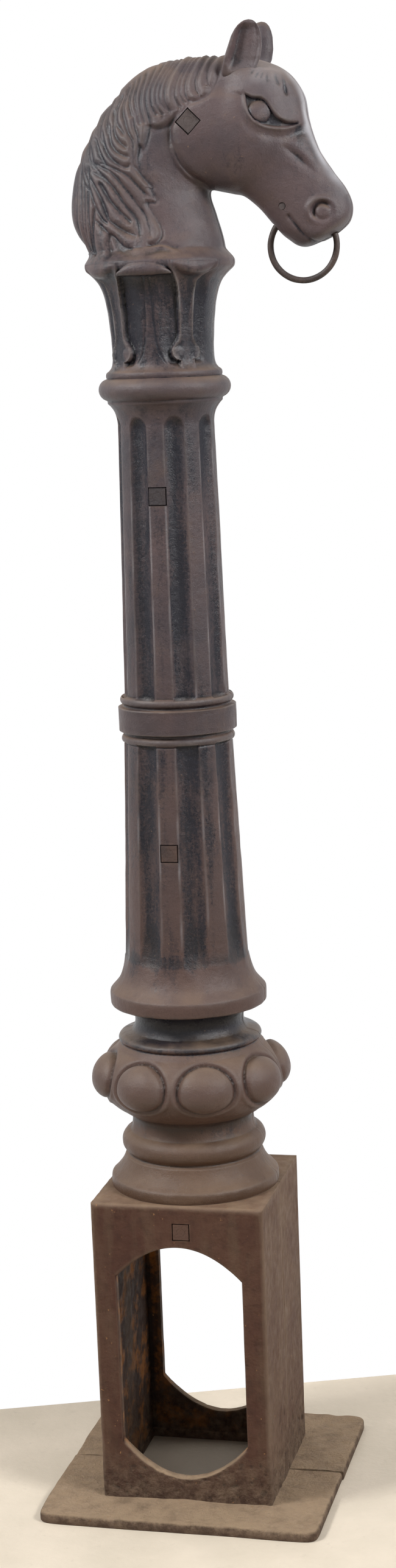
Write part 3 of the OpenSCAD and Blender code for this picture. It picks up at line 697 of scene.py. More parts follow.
def into_leaf(a, z):
    """How far a place lies inside a leaf of the capital, in degrees round it, negative outside. The leaf's
    edges run up to the lip, and below they curl away from the leaf's middle, each into a drop."""
    inner = np.interp(z, [1303, 1304.5, 1308, 1313, 1317.5, 1321.5, 1326, 1331, 1345, 1362, 1376, 1386, 1395,
                          1401],
                      [32, 27, 23.5, 22.3, 23.8, 27.5, 30.8, 31.7, 31.7, 31, 29.6, 27.5, 24, 20])
    outer = np.interp(z, [1303, 1306, 1312, 1318, 1323, 1328, 1334, 1377, 1388, 1393, 1401],
                      [50, 57, 58.5, 56, 52, 49.5, 48.9, 48.7, 49.5, 53, 63])
    return np.minimum(a - inner, outer - a)


LEAVES_Z = 1292  # the capital's relief lies above this height
LEAF_MIDDLE = 41  # where a leaf stands, in degrees from the middle of the half
LEAF_FOOT = (1293, 1298)  # heights over which a leaf begins
PANEL_DEEP = 3.9
PANEL_FOOT, PANEL_HEAD = (1296.5, 1302), (1394.5, 1391.5)  # heights over which the panel begins and ends
PANEL_FLAT = (1352, 1392)  # heights over which its floor gets flatter
CHANNEL_DEEP = 4.2
CHANNEL_FOOT, CHANNEL_HEAD = (1299, 1305), (1400, 1391)
CHANNEL_EDGE, CHANNEL_WIDE = 67, 18  # where the channel ends and how wide it is, in degrees
DROPS = ((30, 7.5), (54, 5))  # places and half widths of a leaf's two drops, in degrees
DROP_Z = 1311
DROP_HALF = 7.5


def leaves(turn, z):
    """The capital's relief. To each side of the middle a leaf with a beaded edge runs up to the lip. Between
    the leaves lies a sunk panel with a rib that spreads at its foot, and beyond them a channel. Panel and
    channel drop sheer at the leaf's edge."""
    a = np.abs(turn)
    into = into_leaf(a, z)
    leaf = soft_step(-0.9, 0.9, into) * soft_step(*LEAF_FOOT, z)
    body = 1.2 - 0.9 * soft_step(1.5, 8, into) + 0.8 * swell(into, 1.2, 1.1)
    rib = np.interp(z, [1297, 1300, 1304, 1311, 1324, 1345, 1384, 1394], [24, 18, 14, 10, 6.5, 4.4, 3, 2.5])
    low = soft_step(*PANEL_FOOT, z)
    panel = -PANEL_DEEP * soft_step(0, 0.75, (a - rib) / np.maximum(30 - rib, 1)) * low
    flat = 0.6 * soft_step(*PANEL_FLAT, z)
    panel = panel * (1 - flat) - 3.4 * flat - 0.8 * swell(a, rib, 0.9) * low
    panel = panel * (a < LEAF_MIDDLE) * soft_step(*PANEL_HEAD, z)
    channel = -CHANNEL_DEEP * soft_step(0, 0.65, (CHANNEL_EDGE - a) / CHANNEL_WIDE)
    channel = channel * soft_step(*CHANNEL_FOOT, z) * soft_step(*CHANNEL_HEAD, z) * (a > LEAF_MIDDLE)
    drops = sum(np.maximum(1 - ((a - at) / wide) ** 2 - ((z - DROP_Z) / DROP_HALF) ** 2, 0) ** 0.7
                for at, wide in DROPS)
    return leaf * body + (panel + channel) * (1 - leaf) + 1.3 * drops * leaf


LOBE_REACH = 84.5  # radius to which the lobes over the panels stand out
TIP_REACH = 84  # and the leaves' tips
LOBE_FOOT = 1393.5
LOBE_TOP, TIP_TOP = 1407, 1407.5
LOBE_HALF = 23.5  # half the width of a lobe, in degrees
LOBE_FALL = 12  # how far its arch falls at that width
TIP_MIDDLE, TIP_HALF = 42, 20  # middle and half width of a tip, in degrees
TIP_FOOT = 1393  # the tip's lowest point
TIP_RISE = 10  # and how far its edge rises to each side
LIP_ROUND = 6  # how far both draw back at their lower edge


def lobes(turn, z, r):
    """How far the lip stands out over the capital: an arched lobe over the panel and the pointed tip of each
    leaf, both brought out to a radius of their own that rounds off towards their lower edge."""
    a = np.abs(turn)
    crown = LOBE_TOP - LOBE_FALL * (np.minimum(a, 30) / LOBE_HALF) ** 2.4
    up = np.clip((z - LOBE_FOOT) / np.maximum(crown - LOBE_FOOT, 0.5), 0, 1)
    arch = LOBE_REACH - 2.6 * up**3 - LIP_ROUND * np.exp(-np.maximum(z - TIP_FOOT, 0) / 2.5)
    arch = (arch - r) * soft_step(1391.6, 1393.8, z) * soft_step(24, 21, a) * soft_step(1.0, 0.9, up)
    point = TIP_FOOT + TIP_RISE * ((a - TIP_MIDDLE) / TIP_HALF) ** 2
    over = np.clip((z - point) / np.maximum(TIP_TOP - point, 0.5), 0, 1)
    tip = TIP_REACH - 2.4 * over**3 - LIP_ROUND * np.exp(-(np.maximum(z - point, 0) / 3)) - r
    tip = tip * soft_step(point - 2.2, point + 1.6, z) * soft_step(22, 25.5, a) * soft_step(64, 60, a)
    return np.maximum(arch, 0) + np.maximum(tip * soft_step(1.0, 0.9, over), 0)


CORE = (49, 42)  # radius of the hollow core at foot and collar
CORE_STEPS = 9  # points of the core's half round
SEAM_DEEP = 1.1  # how far the edge falls away at the parting plane


def shell(outer, inner):
    """A closed wall between an outer grid and an inner grid of as many rows, joined along both long edges and
    at both ends."""
    rows, columns = outer.shape[:2]
    inside = inner.shape[1]
    first = rows * columns
    faces = quads(rows, columns)
    faces += [face[::-1] for face in quads(rows, inside, first)]
    i = np.arange(rows - 1)
    a, b = i * columns, first + i * inside
    faces += np.stack([a, a + columns, b + inside, b], -1).tolist()
    a, b = a + columns - 1, b + inside - 1
    faces += np.stack([b, b + inside, a + columns, a], -1).tolist()
    start = list(range(columns)) + list(range(first + inside - 1, first - 1, -1))
    end = [p + (rows - 1) * columns for p in range(columns)]
    end += [p + (rows - 1) * inside for p in range(first + inside - 1, first - 1, -1)]
    faces += [start[::-1], end]
    return np.concatenate([outer.reshape(-1, 3), inner.reshape(-1, 3)]), faces


def column_half(side):
    """The profile carried round half a turn and lifted along its own normal by flutes, bosses and leaves.
    Towards the parting plane the edge falls away, which leaves the seam between the halves."""
    profile = column_profile()
    slope = np.gradient(profile, axis=0)
    steep = np.maximum(np.linalg.norm(slope, axis=-1, keepdims=True), 1e-6)
    normal = np.stack([slope[:, 1], -slope[:, 0]], -1) / steep
    edge = np.array([90, 89.6, 89.1, 88.6])  # closer steps at the parting plane, in degrees
    turn = np.concatenate([-edge, np.arange(-88, 89), edge[::-1]])
    r, z = profile[:, :1], profile[:, 1:]
    flat = np.broadcast_to(turn, (len(r), len(turn)))
    lift = flutes(flat, z) + bosses(flat, z) + leaves(flat, z) * (z > LEAVES_Z)
    away = np.radians(90 - np.abs(flat)) * r
    lift = lift - SEAM_DEEP * swell(away, 0, 0.9)
    ray = np.stack([np.sin(np.radians(flat)), -np.cos(np.radians(flat)), np.zeros_like(flat)], -1)
    skin = np.concatenate([ray[..., :2] * r[..., None], np.broadcast_to(z, flat.shape)[..., None]], -1)
    lift = lift + cast_skin(skin, (0.35, 42, side + 30), (0.22, 11, side + 31)) * soft_step(0, 3, away)
    outer = ray * (r + normal[:, :1] * lift + lobes(flat, z, r))[..., None]
    off_ends = soft_step(0, 6, z - FOOT_Z) * soft_step(COLLAR_Z, COLLAR_Z - 2, z)
    outer[..., 2] = z + normal[:, 1:] * lift * off_ends
    outer[:, [0, -1], 1] = 0
    core = np.interp(profile[:, 1], (FOOT_Z, COLLAR_Z), CORE)[:, None, None]
    round_core = np.radians(np.linspace(-90, 90, CORE_STEPS))
    inner = np.stack([np.sin(round_core), -np.cos(round_core), 0 * round_core], -1) * core
    inner[..., 2] = profile[:, 1:]
    inner[:, [0, -1], 1] = 0
    points, faces = shell(outer, inner)
    return points * [1, side, 1], faces


def column_paint(points):
    """Old paint is left in the flutes, the capital's channels and round the bosses, most of it high up."""
    turn = np.degrees(np.arctan2(points[:, 0], np.abs(points[:, 1])))
    z = points[:, 2]
    sunk = -flutes(turn, z) / FLUTE_DEEP - leaves(turn, z) / 7 * (z > 1296)
    left = [-0.3, -0.3, 0.85, 0.85, -0.3, -0.22, 0.16, 0.24, -0.3, -0.3, 0.1, 0.22, 0.0, -0.1, 0.6, 0.62, 0.2]
    heights = [360, 532, 546, 574, 588, 605, 725, 880, 888, 934, 945, 1225, 1258, 1288, 1305, 1370, 1405]
    return 0.34 * np.clip(sunk, -0.3, 1) + np.interp(z, heights, left)


def column_rub_and_highlight(points):
    """The edges of flutes and leaves are rubbed bare and get a painted highlight, in lines that come and go.
    """
    turn = np.degrees(np.arctan2(points[:, 0], np.abs(points[:, 1])))
    z = points[:, 2]
    off_band = (z < SHAFTS["lower"][3]) | (z > SHAFTS["upper"][2])
    on_shaft = soft_step(640, 690, z) * soft_step(1225, 1200, z) * off_band
    flute_edge = swell(off_ray(turn) / FLUTE_HALF, 1.04, 0.07) * on_shaft
    on_leaf = soft_step(1303, 1306, z) * soft_step(1402, 1392, z)
    leaf_edge = swell(into_leaf(np.abs(turn), z), 0.9, 0.9) * on_leaf
    return (flute_edge + leaf_edge) * np.clip(0.02 + 0.4 * lumps(points, 24, 61), 0, 0.35)


SHAFT_NUTS = ("lower_shaft_nut", "upper_shaft_nut")

coat = worn_iron()
for half, side in HALVES.items():
    piece = add_piece(f"{half}_column_casting", *column_half(side))
    carve(piece, [nut_pocket(node, side) for node in SHAFT_NUTS])
    mark_weathering_and_light(piece, passes=26, reach=1.5, paint_and_shade=column_paint, rub_and_highlight=column_rub_and_highlight, meets=(COLLAR_Z,),
            nuts=SHAFT_NUTS)
    piece.data.materials.append(coat)
    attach(piece, "post")
    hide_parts(f"{half}_column_half")


# The horse's head is the top of each half casting: a hollow half head with an upright ear, parted down the
# ridge of the face. Eye, jaw, nostril and mouth are modelled in low relief, and the mane lies over the neck
# in heavy locks. It is the same worn iron, rubbed grey along the nose with a painted highlight there, painted
# light on the brow and painted shade round the eyeball.

# Stations from the collar round the poll to the lips: crest and face, throat and jaw, and half thickness.
# Places on the head are given as X and height above the collar.
CREST = [(-69, 0), (-92, 42), (-92, 80), (-81, 117), (-54, 161), (-14, 197), (33, 212), (80, 211),
         (122, 202), (147, 189), (163, 166), (168, 140), (178, 109), (192, 87), (205, 69), (211.5, 54),
         (212, 42), (208, 32), (199, 23)]
THROAT = [(73.5, 0), (70, 25), (63, 50), (59, 64), (59, 71), (62, 72.5), (68, 71.5), (76, 69.5), (86, 67),
          (96, 64.5), (106, 57), (116, 47), (126, 35), (136, 23.5), (145, 16), (153, 10.5), (162, 9),
          (174, 12), (187, 17.5)]
HALF = [66, 57, 53, 52, 50, 48, 46, 46, 45, 43, 38, 33, 30, 29, 28, 27, 26, 21, 4]
LIP_ROLL = 14  # height over which the neck's root rolls out to the capital's lip
HEAD_ROWS = 390
HEAD_COLUMNS = 208
ROLL_ROWS = HEAD_ROWS // 3  # rows that can roll out at the neck's root
ROOT_ROWS = int(HEAD_ROWS * 0.3)  # rows whose relief fades out at the collar
SPINE_STEPS = 400
CREST_SHARE = 0.62  # the rows are spaced evenly along a line so far from the throat towards the crest
ROUNDNESS = 0.84  # power of the half rounds
NOSE_FLATTER = 0.22  # how much smaller it is along the nose
NOSE_X = (120, 160)  # X over which that comes in
THIN_HALF = 18  # the relief gets lower where half the head's thickness is less than this


def stroke(p, line, width, soft=0.7, taper=(0.12, 0.18)):
    """A stroke drawn over the side view: 1 on a smooth line through the points, falling off by the distance
    over the width, and fading over a share of its length at each end. Only points near it are worked out."""
    line = through(list(line) + [line[-1]], 6 * len(line))
    near = np.all((p > line.min(0) - 5 * width) & (p < line.max(0) + 5 * width), -1)
    value = np.zeros(p.shape[:-1])
    q = p[near]
    a, d = line[:-1], np.diff(line, axis=0)
    along = np.clip(((q[:, None] - a) * d).sum(-1) / np.maximum((d**2).sum(-1), 1e-9), 0, 1)
    gap = np.linalg.norm(q[:, None] - a - along[..., None] * d, axis=-1)
    best = gap.argmin(-1)
    pick = np.arange(len(q))
    share = (best + along[pick, best]) / len(d)
    distance = np.sqrt(gap[pick, best] ** 2 + soft**2) - soft
    faded = np.exp(-distance / width) * soft_step(0, taper[0], share)
    value[near] = faded * soft_step(1, 1 - taper[1], share)
    return value


def inside_of(p, outline):
    """How far each point lies inside a closed outline, negative outside."""
    outline = np.array(outline, float)
    a, b = outline, np.roll(outline, -1, axis=0)
    d = b - a
    flat = p.reshape(-1, 1, 2)
    along = np.clip(((flat - a) * d).sum(-1) / (d**2).sum(-1), 0, 1)
    gap = np.linalg.norm(flat - a - along[..., None] * d, axis=-1).min(-1)
    crossing = (a[:, 1] > flat[..., 1]) != (b[:, 1] > flat[..., 1])
    at = a[:, 0] + (flat[..., 1] - a[:, 1]) * d[:, 0] / np.where(d[:, 1] == 0, 1e-9, d[:, 1])
    odd = (crossing & (flat[..., 0] < at)).sum(-1) % 2
    return np.where(odd == 1, gap, -gap).reshape(p.shape[:-1])


def bump(p, middle, reach):
    """A soft rise of height 1 at a place, fading over its reach along X and Z: exp(-x^2 - z^2)."""
    return np.exp(-((((p - np.array(middle)) / np.array(reach)) ** 2).sum(-1)))


# The mane's edge, from behind the ear down along the tips of the locks to the collar, and back up outside the
# crest.
MANE_EDGE = [(83, 215), (81, 196), (76, 181), (71, 170), (62, 164), (50, 161), (42, 153), (33, 146),
             (22, 139), (12, 137), (6, 140), (3, 130), (-1, 117), (-4, 118), (-8, 104), (-4, 92), (6, 76),
             (4, 76), (10, 63), (6, 62), (1, 60), (7, 48), (14, 36), (16, 27), (11, 19), (5, 16), (18, 16),
             (27, 13), (38, 8), (26, 10), (16, 11.5), (6, 8), (-4, 5), (-14, 7), (-26, 14), (-38, 28),
             (-42, 22), (-41, 10), (-46, 4), (-56, -4), (-130, -10), (-130, 240), (60, 260)]
# Grooves between the locks, each drawn from its root to its tip.
LOCK_GROOVES = [
    [(-55, 94), (-41, 85), (-31, 73), (-22, 59), (-11, 46), (-7, 35), (-6, 26)],
    [(-46, 77), (-38, 64), (-29, 54), (-16, 41)],
    [(-56, 104), (-37, 94), (-24, 80), (-7, 57), (1, 45), (6, 24)],
    [(-46, 103), (-30, 96), (-19, 90), (-10, 81), (-1, 71), (7, 65)],
    [(-22, 150), (-18, 136), (-12, 124), (-12, 111), (-12, 100), (-5, 91), (6, 79)],
    [(-11, 152), (-10, 141), (-7, 131), (-6, 122), (-6, 111), (-4, 101), (0, 92)],
    [(-64, 92), (-52, 72), (-46, 59), (-41, 46), (-33, 39), (-20, 31), (-9, 26)],
    [(-66, 85), (-57, 61), (-50, 48), (-42, 41)],
    [(-54, 43), (-43, 33), (-33, 25), (-24, 17), (-13, 12)],
    [(-76, 85), (-75, 56), (-73, 34), (-67, 14)],
    [(-71, 72), (-70, 40), (-67, 14)],
    [(-65, 86), (-66, 56), (-64, 32), (-62, 12)],
    [(-58, 50), (-61, 32), (-60, 10)],
    [(-82, 100), (-83, 70), (-82, 40), (-76, 12)],
    [(-39, 139), (-37, 125), (-32, 117), (-25, 112), (-16, 108)],
    [(-48, 134), (-44, 120), (-38, 110), (-30, 103), (-20, 98), (-14, 102)],
    [(-54, 124), (-49, 112), (-42, 102), (-32, 97)],
    [(-62, 118), (-58, 104), (-50, 94), (-40, 85)],
    [(-34, 150), (-33, 135), (-28, 126), (-19, 118)],
    [(-28, 169), (-32, 157), (-31, 145), (-26, 138), (-21, 131)],
    [(-21, 175), (-24, 160), (-22, 148)],
    [(-15, 180), (-17, 166), (-13, 150)],
    [(-9, 184), (-11, 169), (-8, 155), (-4, 141)],
    [(-2, 188), (-4, 172), (-3, 157), (1, 142)],
    [(6, 192), (2, 172), (4, 155), (7, 143)],
    [(14, 196), (8, 178), (9, 160), (14, 150)],
    [(22, 200), (14, 180), (14, 162), (20, 150)],
    [(33, 204), (24, 183), (23, 166), (28, 153)],
    [(44, 206), (36, 184), (34, 168), (40, 156)],
    [(54, 207), (46, 186), (45, 171), (50, 162)],
    [(64, 208), (57, 189), (56, 177), (61, 167)],
    [(73, 207), (68, 192), (70, 177)],
    [(28, 203), (19, 182), (18, 166), (24, 155)],
    [(49, 207), (41, 186), (40, 170), (45, 160)],
    [(-46, 163), (-51, 148), (-52, 134), (-46, 122)],
    [(-38, 170), (-43, 155), (-43, 142), (-38, 130)],
    [(-62, 144), (-66, 126), (-64, 110), (-56, 98)],
    [(-72, 126), (-76, 106), (-73, 90), (-66, 78)],
]
# Lines of the face: lids of the eye, jaw, nose, mouth and forelock.
UPPER_LID = [(109, 166), (117, 162.5), (126, 161), (132, 156.5), (137, 148), (143, 140.5), (152, 136),
             (162, 135)]
LOWER_LID = [(109, 166), (110, 158), (112.5, 148.5), (119, 139), (129, 133.5), (141, 131), (151.5, 131),
             (162, 135)]
EYE_BALL = (124, 147.5)
EYE_ROUND = (12.6, 12.4)
JAW = [(27, 152), (28, 136), (30, 120), (35, 105), (43, 92), (54, 81), (66, 73)]
NOSE_CREASE = [(143.5, 115), (151, 108.5), (159, 102), (165.5, 95.5), (171.5, 90), (179, 83.5)]
MOUTH = [(146.5, 43), (152, 36), (158.5, 27.5), (163.5, 21), (170, 15.5), (176, 11)]
NOSTRIL = (184.5, 44.3)
FORELOCK = [[(119, 193), (115, 186)], [(123, 191), (120, 182)], [(127, 190), (125, 181)],
            [(130, 188), (132, 178)],
            [(138, 187), (140, 181), (143, 174)], [(145, 184), (148, 177), (151, 165)]]
EYE_OUTLINE = through(UPPER_LID + LOWER_LID[-2:0:-1] + UPPER_LID[:1], 90)
CHEEK = (80, 122)  # middle of the round cheek
NOSTRIL_HOLE = (186.5, 42.3)
# Soft rises and hollows of brow and lips: height, middle and reach.
BROWS = ((4.2, (126, 180), (26, 13)), (-1.6, (163, 126), (11, 11)), (-3.2, (86, 172), (10, 17)),
         (3.5, (104, 189), (17, 12)))
LIPS = ((1.6, (152, 29), (12, 10)), (1.4, (177, 24), (14, 8)))


def face_relief(p):
    """Heights of the face over its rounded form, as sums of soft rises, strokes and rings."""
    x, z = p[..., 0], p[..., 1]
    from_cheek = np.linalg.norm(p - CHEEK, axis=-1)
    behind = soft_step(78, 52, x) * soft_step(170, 145, z) * soft_step(25, 75, z)
    hollow = 3.6 * behind * soft_step(49, 54, from_cheek) * soft_step(95, 58, from_cheek)
    cheek = 3.2 * soft_step(58, 40, from_cheek) - hollow - 4.2 * stroke(p, JAW, 3.2, 1.0, (0.3, 0.25))
    outside = -inside_of(p, EYE_OUTLINE)
    ball = np.linalg.norm((p - EYE_BALL) / EYE_ROUND, axis=-1)
    eye = 4.8 * np.sqrt(np.maximum(1 - ball**2, 0)) * soft_step(-0.4, -1.8, outside)
    eye = eye - 2.6 * soft_step(0.3, -1.8, outside)
    upper = soft_step(-3, 4, z - np.interp(x, (108, 124, 140, 163), (167, 150, 137, 134.5)))
    lids = (1.5 + 1.4 * upper * soft_step(168, 140, x)) * soft_step(-0.9, 0.9, outside)
    lids = lids * swell(np.maximum(outside - 1.3, 0), 0, 1.7 + 9 * upper)
    lids -= 1.5 * (1 - upper) * swell(outside, 9, 4.5) * soft_step(100, 112, x)
    brow = sum(height * bump(p, middle, spread) for height, middle, spread in BROWS)
    nose = 2.2 * stroke(p, np.array(NOSE_CREASE) + [4, 5], 6, 4, (0.5, 0.6))
    nose -= 3.2 * stroke(p, NOSE_CREASE, 2.6, 1.4, (0.4, 0.6))
    reach = p - NOSTRIL
    ring = np.linalg.norm(reach / [1.1, 1], axis=-1)
    way = np.arctan2(reach[..., 1], reach[..., 0])
    open_side = 0.15 + 0.85 * soft_step(-0.5, 0.5, np.cos(way - np.radians(125)))
    rim = 0.6 + 0.4 * np.cos(way - np.radians(140))
    nostril = 2.2 * rim * swell(ring, 12.8, 3.4) - 4.2 * swell(ring, 8.4, 2.3) * open_side
    hole = np.linalg.norm((p - NOSTRIL_HOLE) / [8, 7.2], axis=-1)
    nostril += 1.3 * np.maximum(1 - hole**2, 0) ** 0.8
    mouth = -2.4 * stroke(p, MOUTH, 1.4, 0.8, (0.1, 0.1))
    for height, middle, spread in LIPS:
        mouth = mouth + height * bump(p, middle, spread)
    ticks = sum(stroke(p, line, 1.5, 0.8, (0.4, 0.4)) for line in FORELOCK)
    return cheek + eye + lids + brow + nose + nostril + mouth - 2.2 * ticks


ROOT_REACH = 0.9  # how far a groove is drawn out past its root, over its first step


def mane_relief(p, turned):
    """The mane: a raised mass with a rounded edge, cut into locks by the deepest groove at each place. Each
    groove is drawn out from its root towards the crest."""
    deep = inside_of(p, through(MANE_EDGE + MANE_EDGE[:1], 4 * len(MANE_EDGE)))
    mass = soft_step(-1.5, 5, deep)
    lines = [np.array(line, float) for line in LOCK_GROOVES]
    roots = [line[0] * (1 + ROOT_REACH) - line[1] * ROOT_REACH for line in lines]
    grooves = [np.concatenate([[root], line]) for root, line in zip(roots, lines)]
    fine, broad = (np.max([stroke(p, line, width, soft, (0.15, 0.25)) for line in grooves], axis=0)
                   for width, soft in ((1.5, 1.2), (3.4, 3.0)))
    edge = swell(deep, -1.4, 2.8)
    return 3.2 * mass * turned - (1.7 * fine + 1.8 * broad) * soft_step(-2.5, 2.5, deep) - 1.3 * edge * turned


def head_surface():
    """The half head: crest and throat lines joined by half rounds, y = -half * sin(turn)^0.84 with turn from
    crest to throat and a smaller power, so a flatter ridge, along the nose. It is flared out to the collar at
    its root and lifted along its normal by the relief of face and mane."""
    crest, throat = (through(list(line) + [line[-1]], SPINE_STEPS)[:-1] for line in (CREST, THROAT))
    half = through([[h] for h in HALF] + [[HALF[-1]]], SPINE_STEPS)[:-1]
    last = len(half) * (len(HALF) - 1) // len(HALF)
    crest, throat, half = (line[:last + 1] for line in (crest, throat, half))
    spine = crest * CREST_SHARE + throat * (1 - CREST_SHARE)
    run = np.concatenate([[0], np.cumsum(np.linalg.norm(np.diff(spine, axis=0), axis=-1))])
    steps = np.arange(len(run))
    evenly = np.interp(np.linspace(0, run[-1], HEAD_ROWS), run, steps)
    crest, throat, half = (np.stack([np.interp(evenly, steps, values) for values in line.T], -1)
                           for line in (crest, throat, half))
    half = np.maximum(half, 0)
    by_seam = np.array([0, 0.0008, 0.003, 0.008])
    rest = np.linspace(0.015, np.pi - 0.015, HEAD_COLUMNS - 2 * len(by_seam))
    turn = np.concatenate([by_seam, rest, np.pi - by_seam[::-1]])
    p = (crest + throat)[:, None] / 2 + (crest - throat)[:, None] / 2 * np.cos(turn)[:, None]
    power = ROUNDNESS - NOSE_FLATTER * soft_step(*NOSE_X, crest[:, :1]) * (turn < np.pi / 2)
    y = -half * np.maximum(np.sin(turn), 0) ** power
    rolled = 1 - soft_step(-1, LIP_ROLL, p[..., 1])
    rolled[ROLL_ROWS:] = 0
    p[..., 0] += rolled * (-LIP_REACH * np.cos(turn) - p[..., 0])
    y = y + rolled * (-LIP_REACH * np.sin(turn) - y)
    y[:, [0, -1]] = 0
    base = np.stack([p[..., 0], y, p[..., 1]], -1)
    normal = np.cross(np.gradient(base, axis=1), np.gradient(base, axis=0))
    normal[:, [0, -1], 1] = 0
    normal /= np.maximum(np.linalg.norm(normal, axis=-1, keepdims=True), 1e-9)
    side = soft_step(0.05, 0.6, np.sin(turn))
    rooted = soft_step(0, 9, p[..., 1] - 1) * np.ones_like(p[..., 0])
    rooted[ROOT_ROWS:] = 1
    thin = np.minimum(half / THIN_HALF, 1)
    lift = face_relief(p) * side + mane_relief(p, soft_step(0.1, 0.95, np.sin(turn)))
    return base, normal, lift * rooted * thin


EAR_ROOT = 176
EAR_TIPS = {1: 241.8, -1: 246}  # the left ear stands a little higher than the right one
EAR_LEAN = 0.34  # the cup opens outwards and a little forwards
EAR_GRID = (64, 84)  # stations up the ear, and points round each


def ear_points(tip):
    """An upright ear: a leaf shaped cup carried from its root to its tip. Its back is half an ellipse, its
    front is hollowed, deepest along a broad rolled rim at the rear, and its root spreads into the head."""
    station = np.linspace(0, 1, EAR_GRID[0])[:, None]
    share = 1 - (1 - station) ** 1.5
    height = EAR_ROOT + (tip - EAR_ROOT) * share
    at = EAR_ROOT + (EAR_TIPS[1] - EAR_ROOT) * share
    middle = np.interp(at, [176, 188, 194, 204, 214, 226, 236, 242],
                       [95, 99, 102, 106, 108.8, 110.8, 112.4, 113.6])
    width = np.interp(at, [176, 188.5, 194, 204, 214, 226, 232, 236.5, 239.5, 241, 241.8],
                      [10, 15.5, 17.3, 18.2, 17.3, 15, 12.6, 9.8, 6.6, 4, 0.05])
    place = np.interp(at, [176, 190, 205, 242], [-25, -31, -35, -33.5])
    thick = np.minimum(np.interp(at, [176, 186, 200, 225, 242], [24, 18, 13, 10, 6]), width * 0.8)
    turn = np.linspace(0, 2 * np.pi, EAR_GRID[1], endpoint=False)
    x = np.cos(turn) * np.ones_like(station)
    front = np.maximum(-np.sin(turn), 0)
    cup = (0.34 + 0.42 * soft_step(0.5, -0.5, x)) * soft_step(-0.98, -0.4, x) * soft_step(0.98, 0.7, x)
    cup = cup * soft_step(186, 206, at) * soft_step(241, 232, at)
    y = np.where(np.sin(turn) > 0, np.sin(turn), cup - 0.42 * front**0.6) * thick
    across = x * width
    out = place + y + across * EAR_LEAN
    return np.stack([middle + across - y * EAR_LEAN, out, height * np.ones_like(x)], -1)


def ear(side):
    """The ear's grid, closed at its root and its tip."""
    points = (ear_points(EAR_TIPS[side]) + [0, 0, COLLAR_Z]) * [1, side, 1]
    return points, closed_tube(*points.shape[:2])


HEAD_WALL = 7
WALL_MORE = 4  # the wall is thicker by this at the head's sides
HOLLOW_LEAST = (0.3, 0.4)  # shares of the head's height and thickness that stay hollow
HOLLOW_STEPS = 15  # points of the hollow's half round


def head_half(side):
    """The outside of the head, its hollow inside and the wall between them."""
    base, normal, lift = head_surface()
    fade = soft_step(0, 4, -base[..., 1])
    lift = lift + cast_skin(base, (0.35, 38, side + 40), (0.2, 10, side + 41)) * fade
    lift = lift - SEAM_DEEP * swell(base[..., 1], 0, 1.6) * soft_step(3, 20, base[..., 2])
    outer = base + normal * lift[..., None]
    outer[:, [0, -1], 1] = 0
    outer[0, :, 2] = 0
    middle = (base[:, :1] + base[:, -1:]) / 2
    turn = np.pi * np.linspace(0, 1, HOLLOW_STEPS)[:, None]
    across = (base[:, :1] - base[:, -1:]) / 2
    length = np.linalg.norm(across, axis=-1, keepdims=True)
    across = across * np.maximum(1 - HEAD_WALL / np.maximum(length, HEAD_WALL + 0.5), HOLLOW_LEAST[0])
    thick = -base[..., 1].min(-1)[:, None]
    depth = np.maximum(thick - HEAD_WALL - WALL_MORE, HOLLOW_LEAST[1] * thick)
    inner = middle + across * np.cos(turn)
    inner[..., 1] = -depth * np.sin(turn)[:, 0]
    inner[:, [0, -1], 1] = 0
    points, faces = shell(outer, inner)
    return (points + [0, 0, COLLAR_Z]) * [1, side, 1], faces


SLOT_ROOM = 0.9  # room round the ring's bar in its slots
SLOT_SWING = 5.4  # and on each side of it, for its swing
SLOT_REACH = 19  # how far a slot follows the ring, in degrees round it to each side
SLOT_GRID = (9, 48)  # stations along a slot, and points round each


def ring_sizes():
    """Middle of the ring, half the thickness of its bar, and the radius of the bar's middle line."""
    low, high = node_box("hitching_ring")
    bar = (high[1] - low[1]) / 2
    return (low + high) / 2, bar, (high[0] - low[0]) / 2 - bar


def ring_slot(angle):
    """An oblong cutter that follows the ring's bar where it passes through the muzzle, wide enough for its
    swing."""
    middle, bar, reach = ring_sizes()
    half_step = 180 / SLOT_GRID[1]
    around = np.radians(np.linspace(half_step, 360 + half_step, SLOT_GRID[1], endpoint=False))
    room = bar + SLOT_ROOM
    out = reach + room * np.cos(around)
    across = room * np.sin(around) + SLOT_SWING * np.sign(np.sin(around))
    turn = np.radians(angle + np.linspace(-SLOT_REACH, SLOT_REACH, SLOT_GRID[0]))[:, None]
    points = middle + np.stack([out * np.cos(turn), across + 0 * turn, out * np.sin(turn)], -1)
    return add_piece("cutter", points, closed_tube(*points.shape[:2]))


RIVET_ROOM = 0.7  # gap round the rivet's end
RIVET_DEEP = 1
RIVET_OUT = 20  # how far its pocket's cutter reaches out of the casting
RIVET_STEPS = 32


def rivet_pocket(side):
    """The round pocket in which the rivet's end is closed, found from the rivet."""
    low, high = node_box("mouth_rivet")
    x, _, z = (low + high) / 2
    around = np.radians(np.linspace(0, 360, RIVET_STEPS, endpoint=False))
    radius = (high[0] - low[0]) / 2 + RIVET_ROOM
    disc = radius * np.stack([np.cos(around), 0 * around, np.sin(around)], -1) + [x, 0, z]
    ends = np.stack([disc + [0, side * (low[1] + deep), 0] for deep in (RIVET_DEEP, -RIVET_OUT)])
    return add_piece("cutter", ends, closed_tube(*ends.shape[:2]))


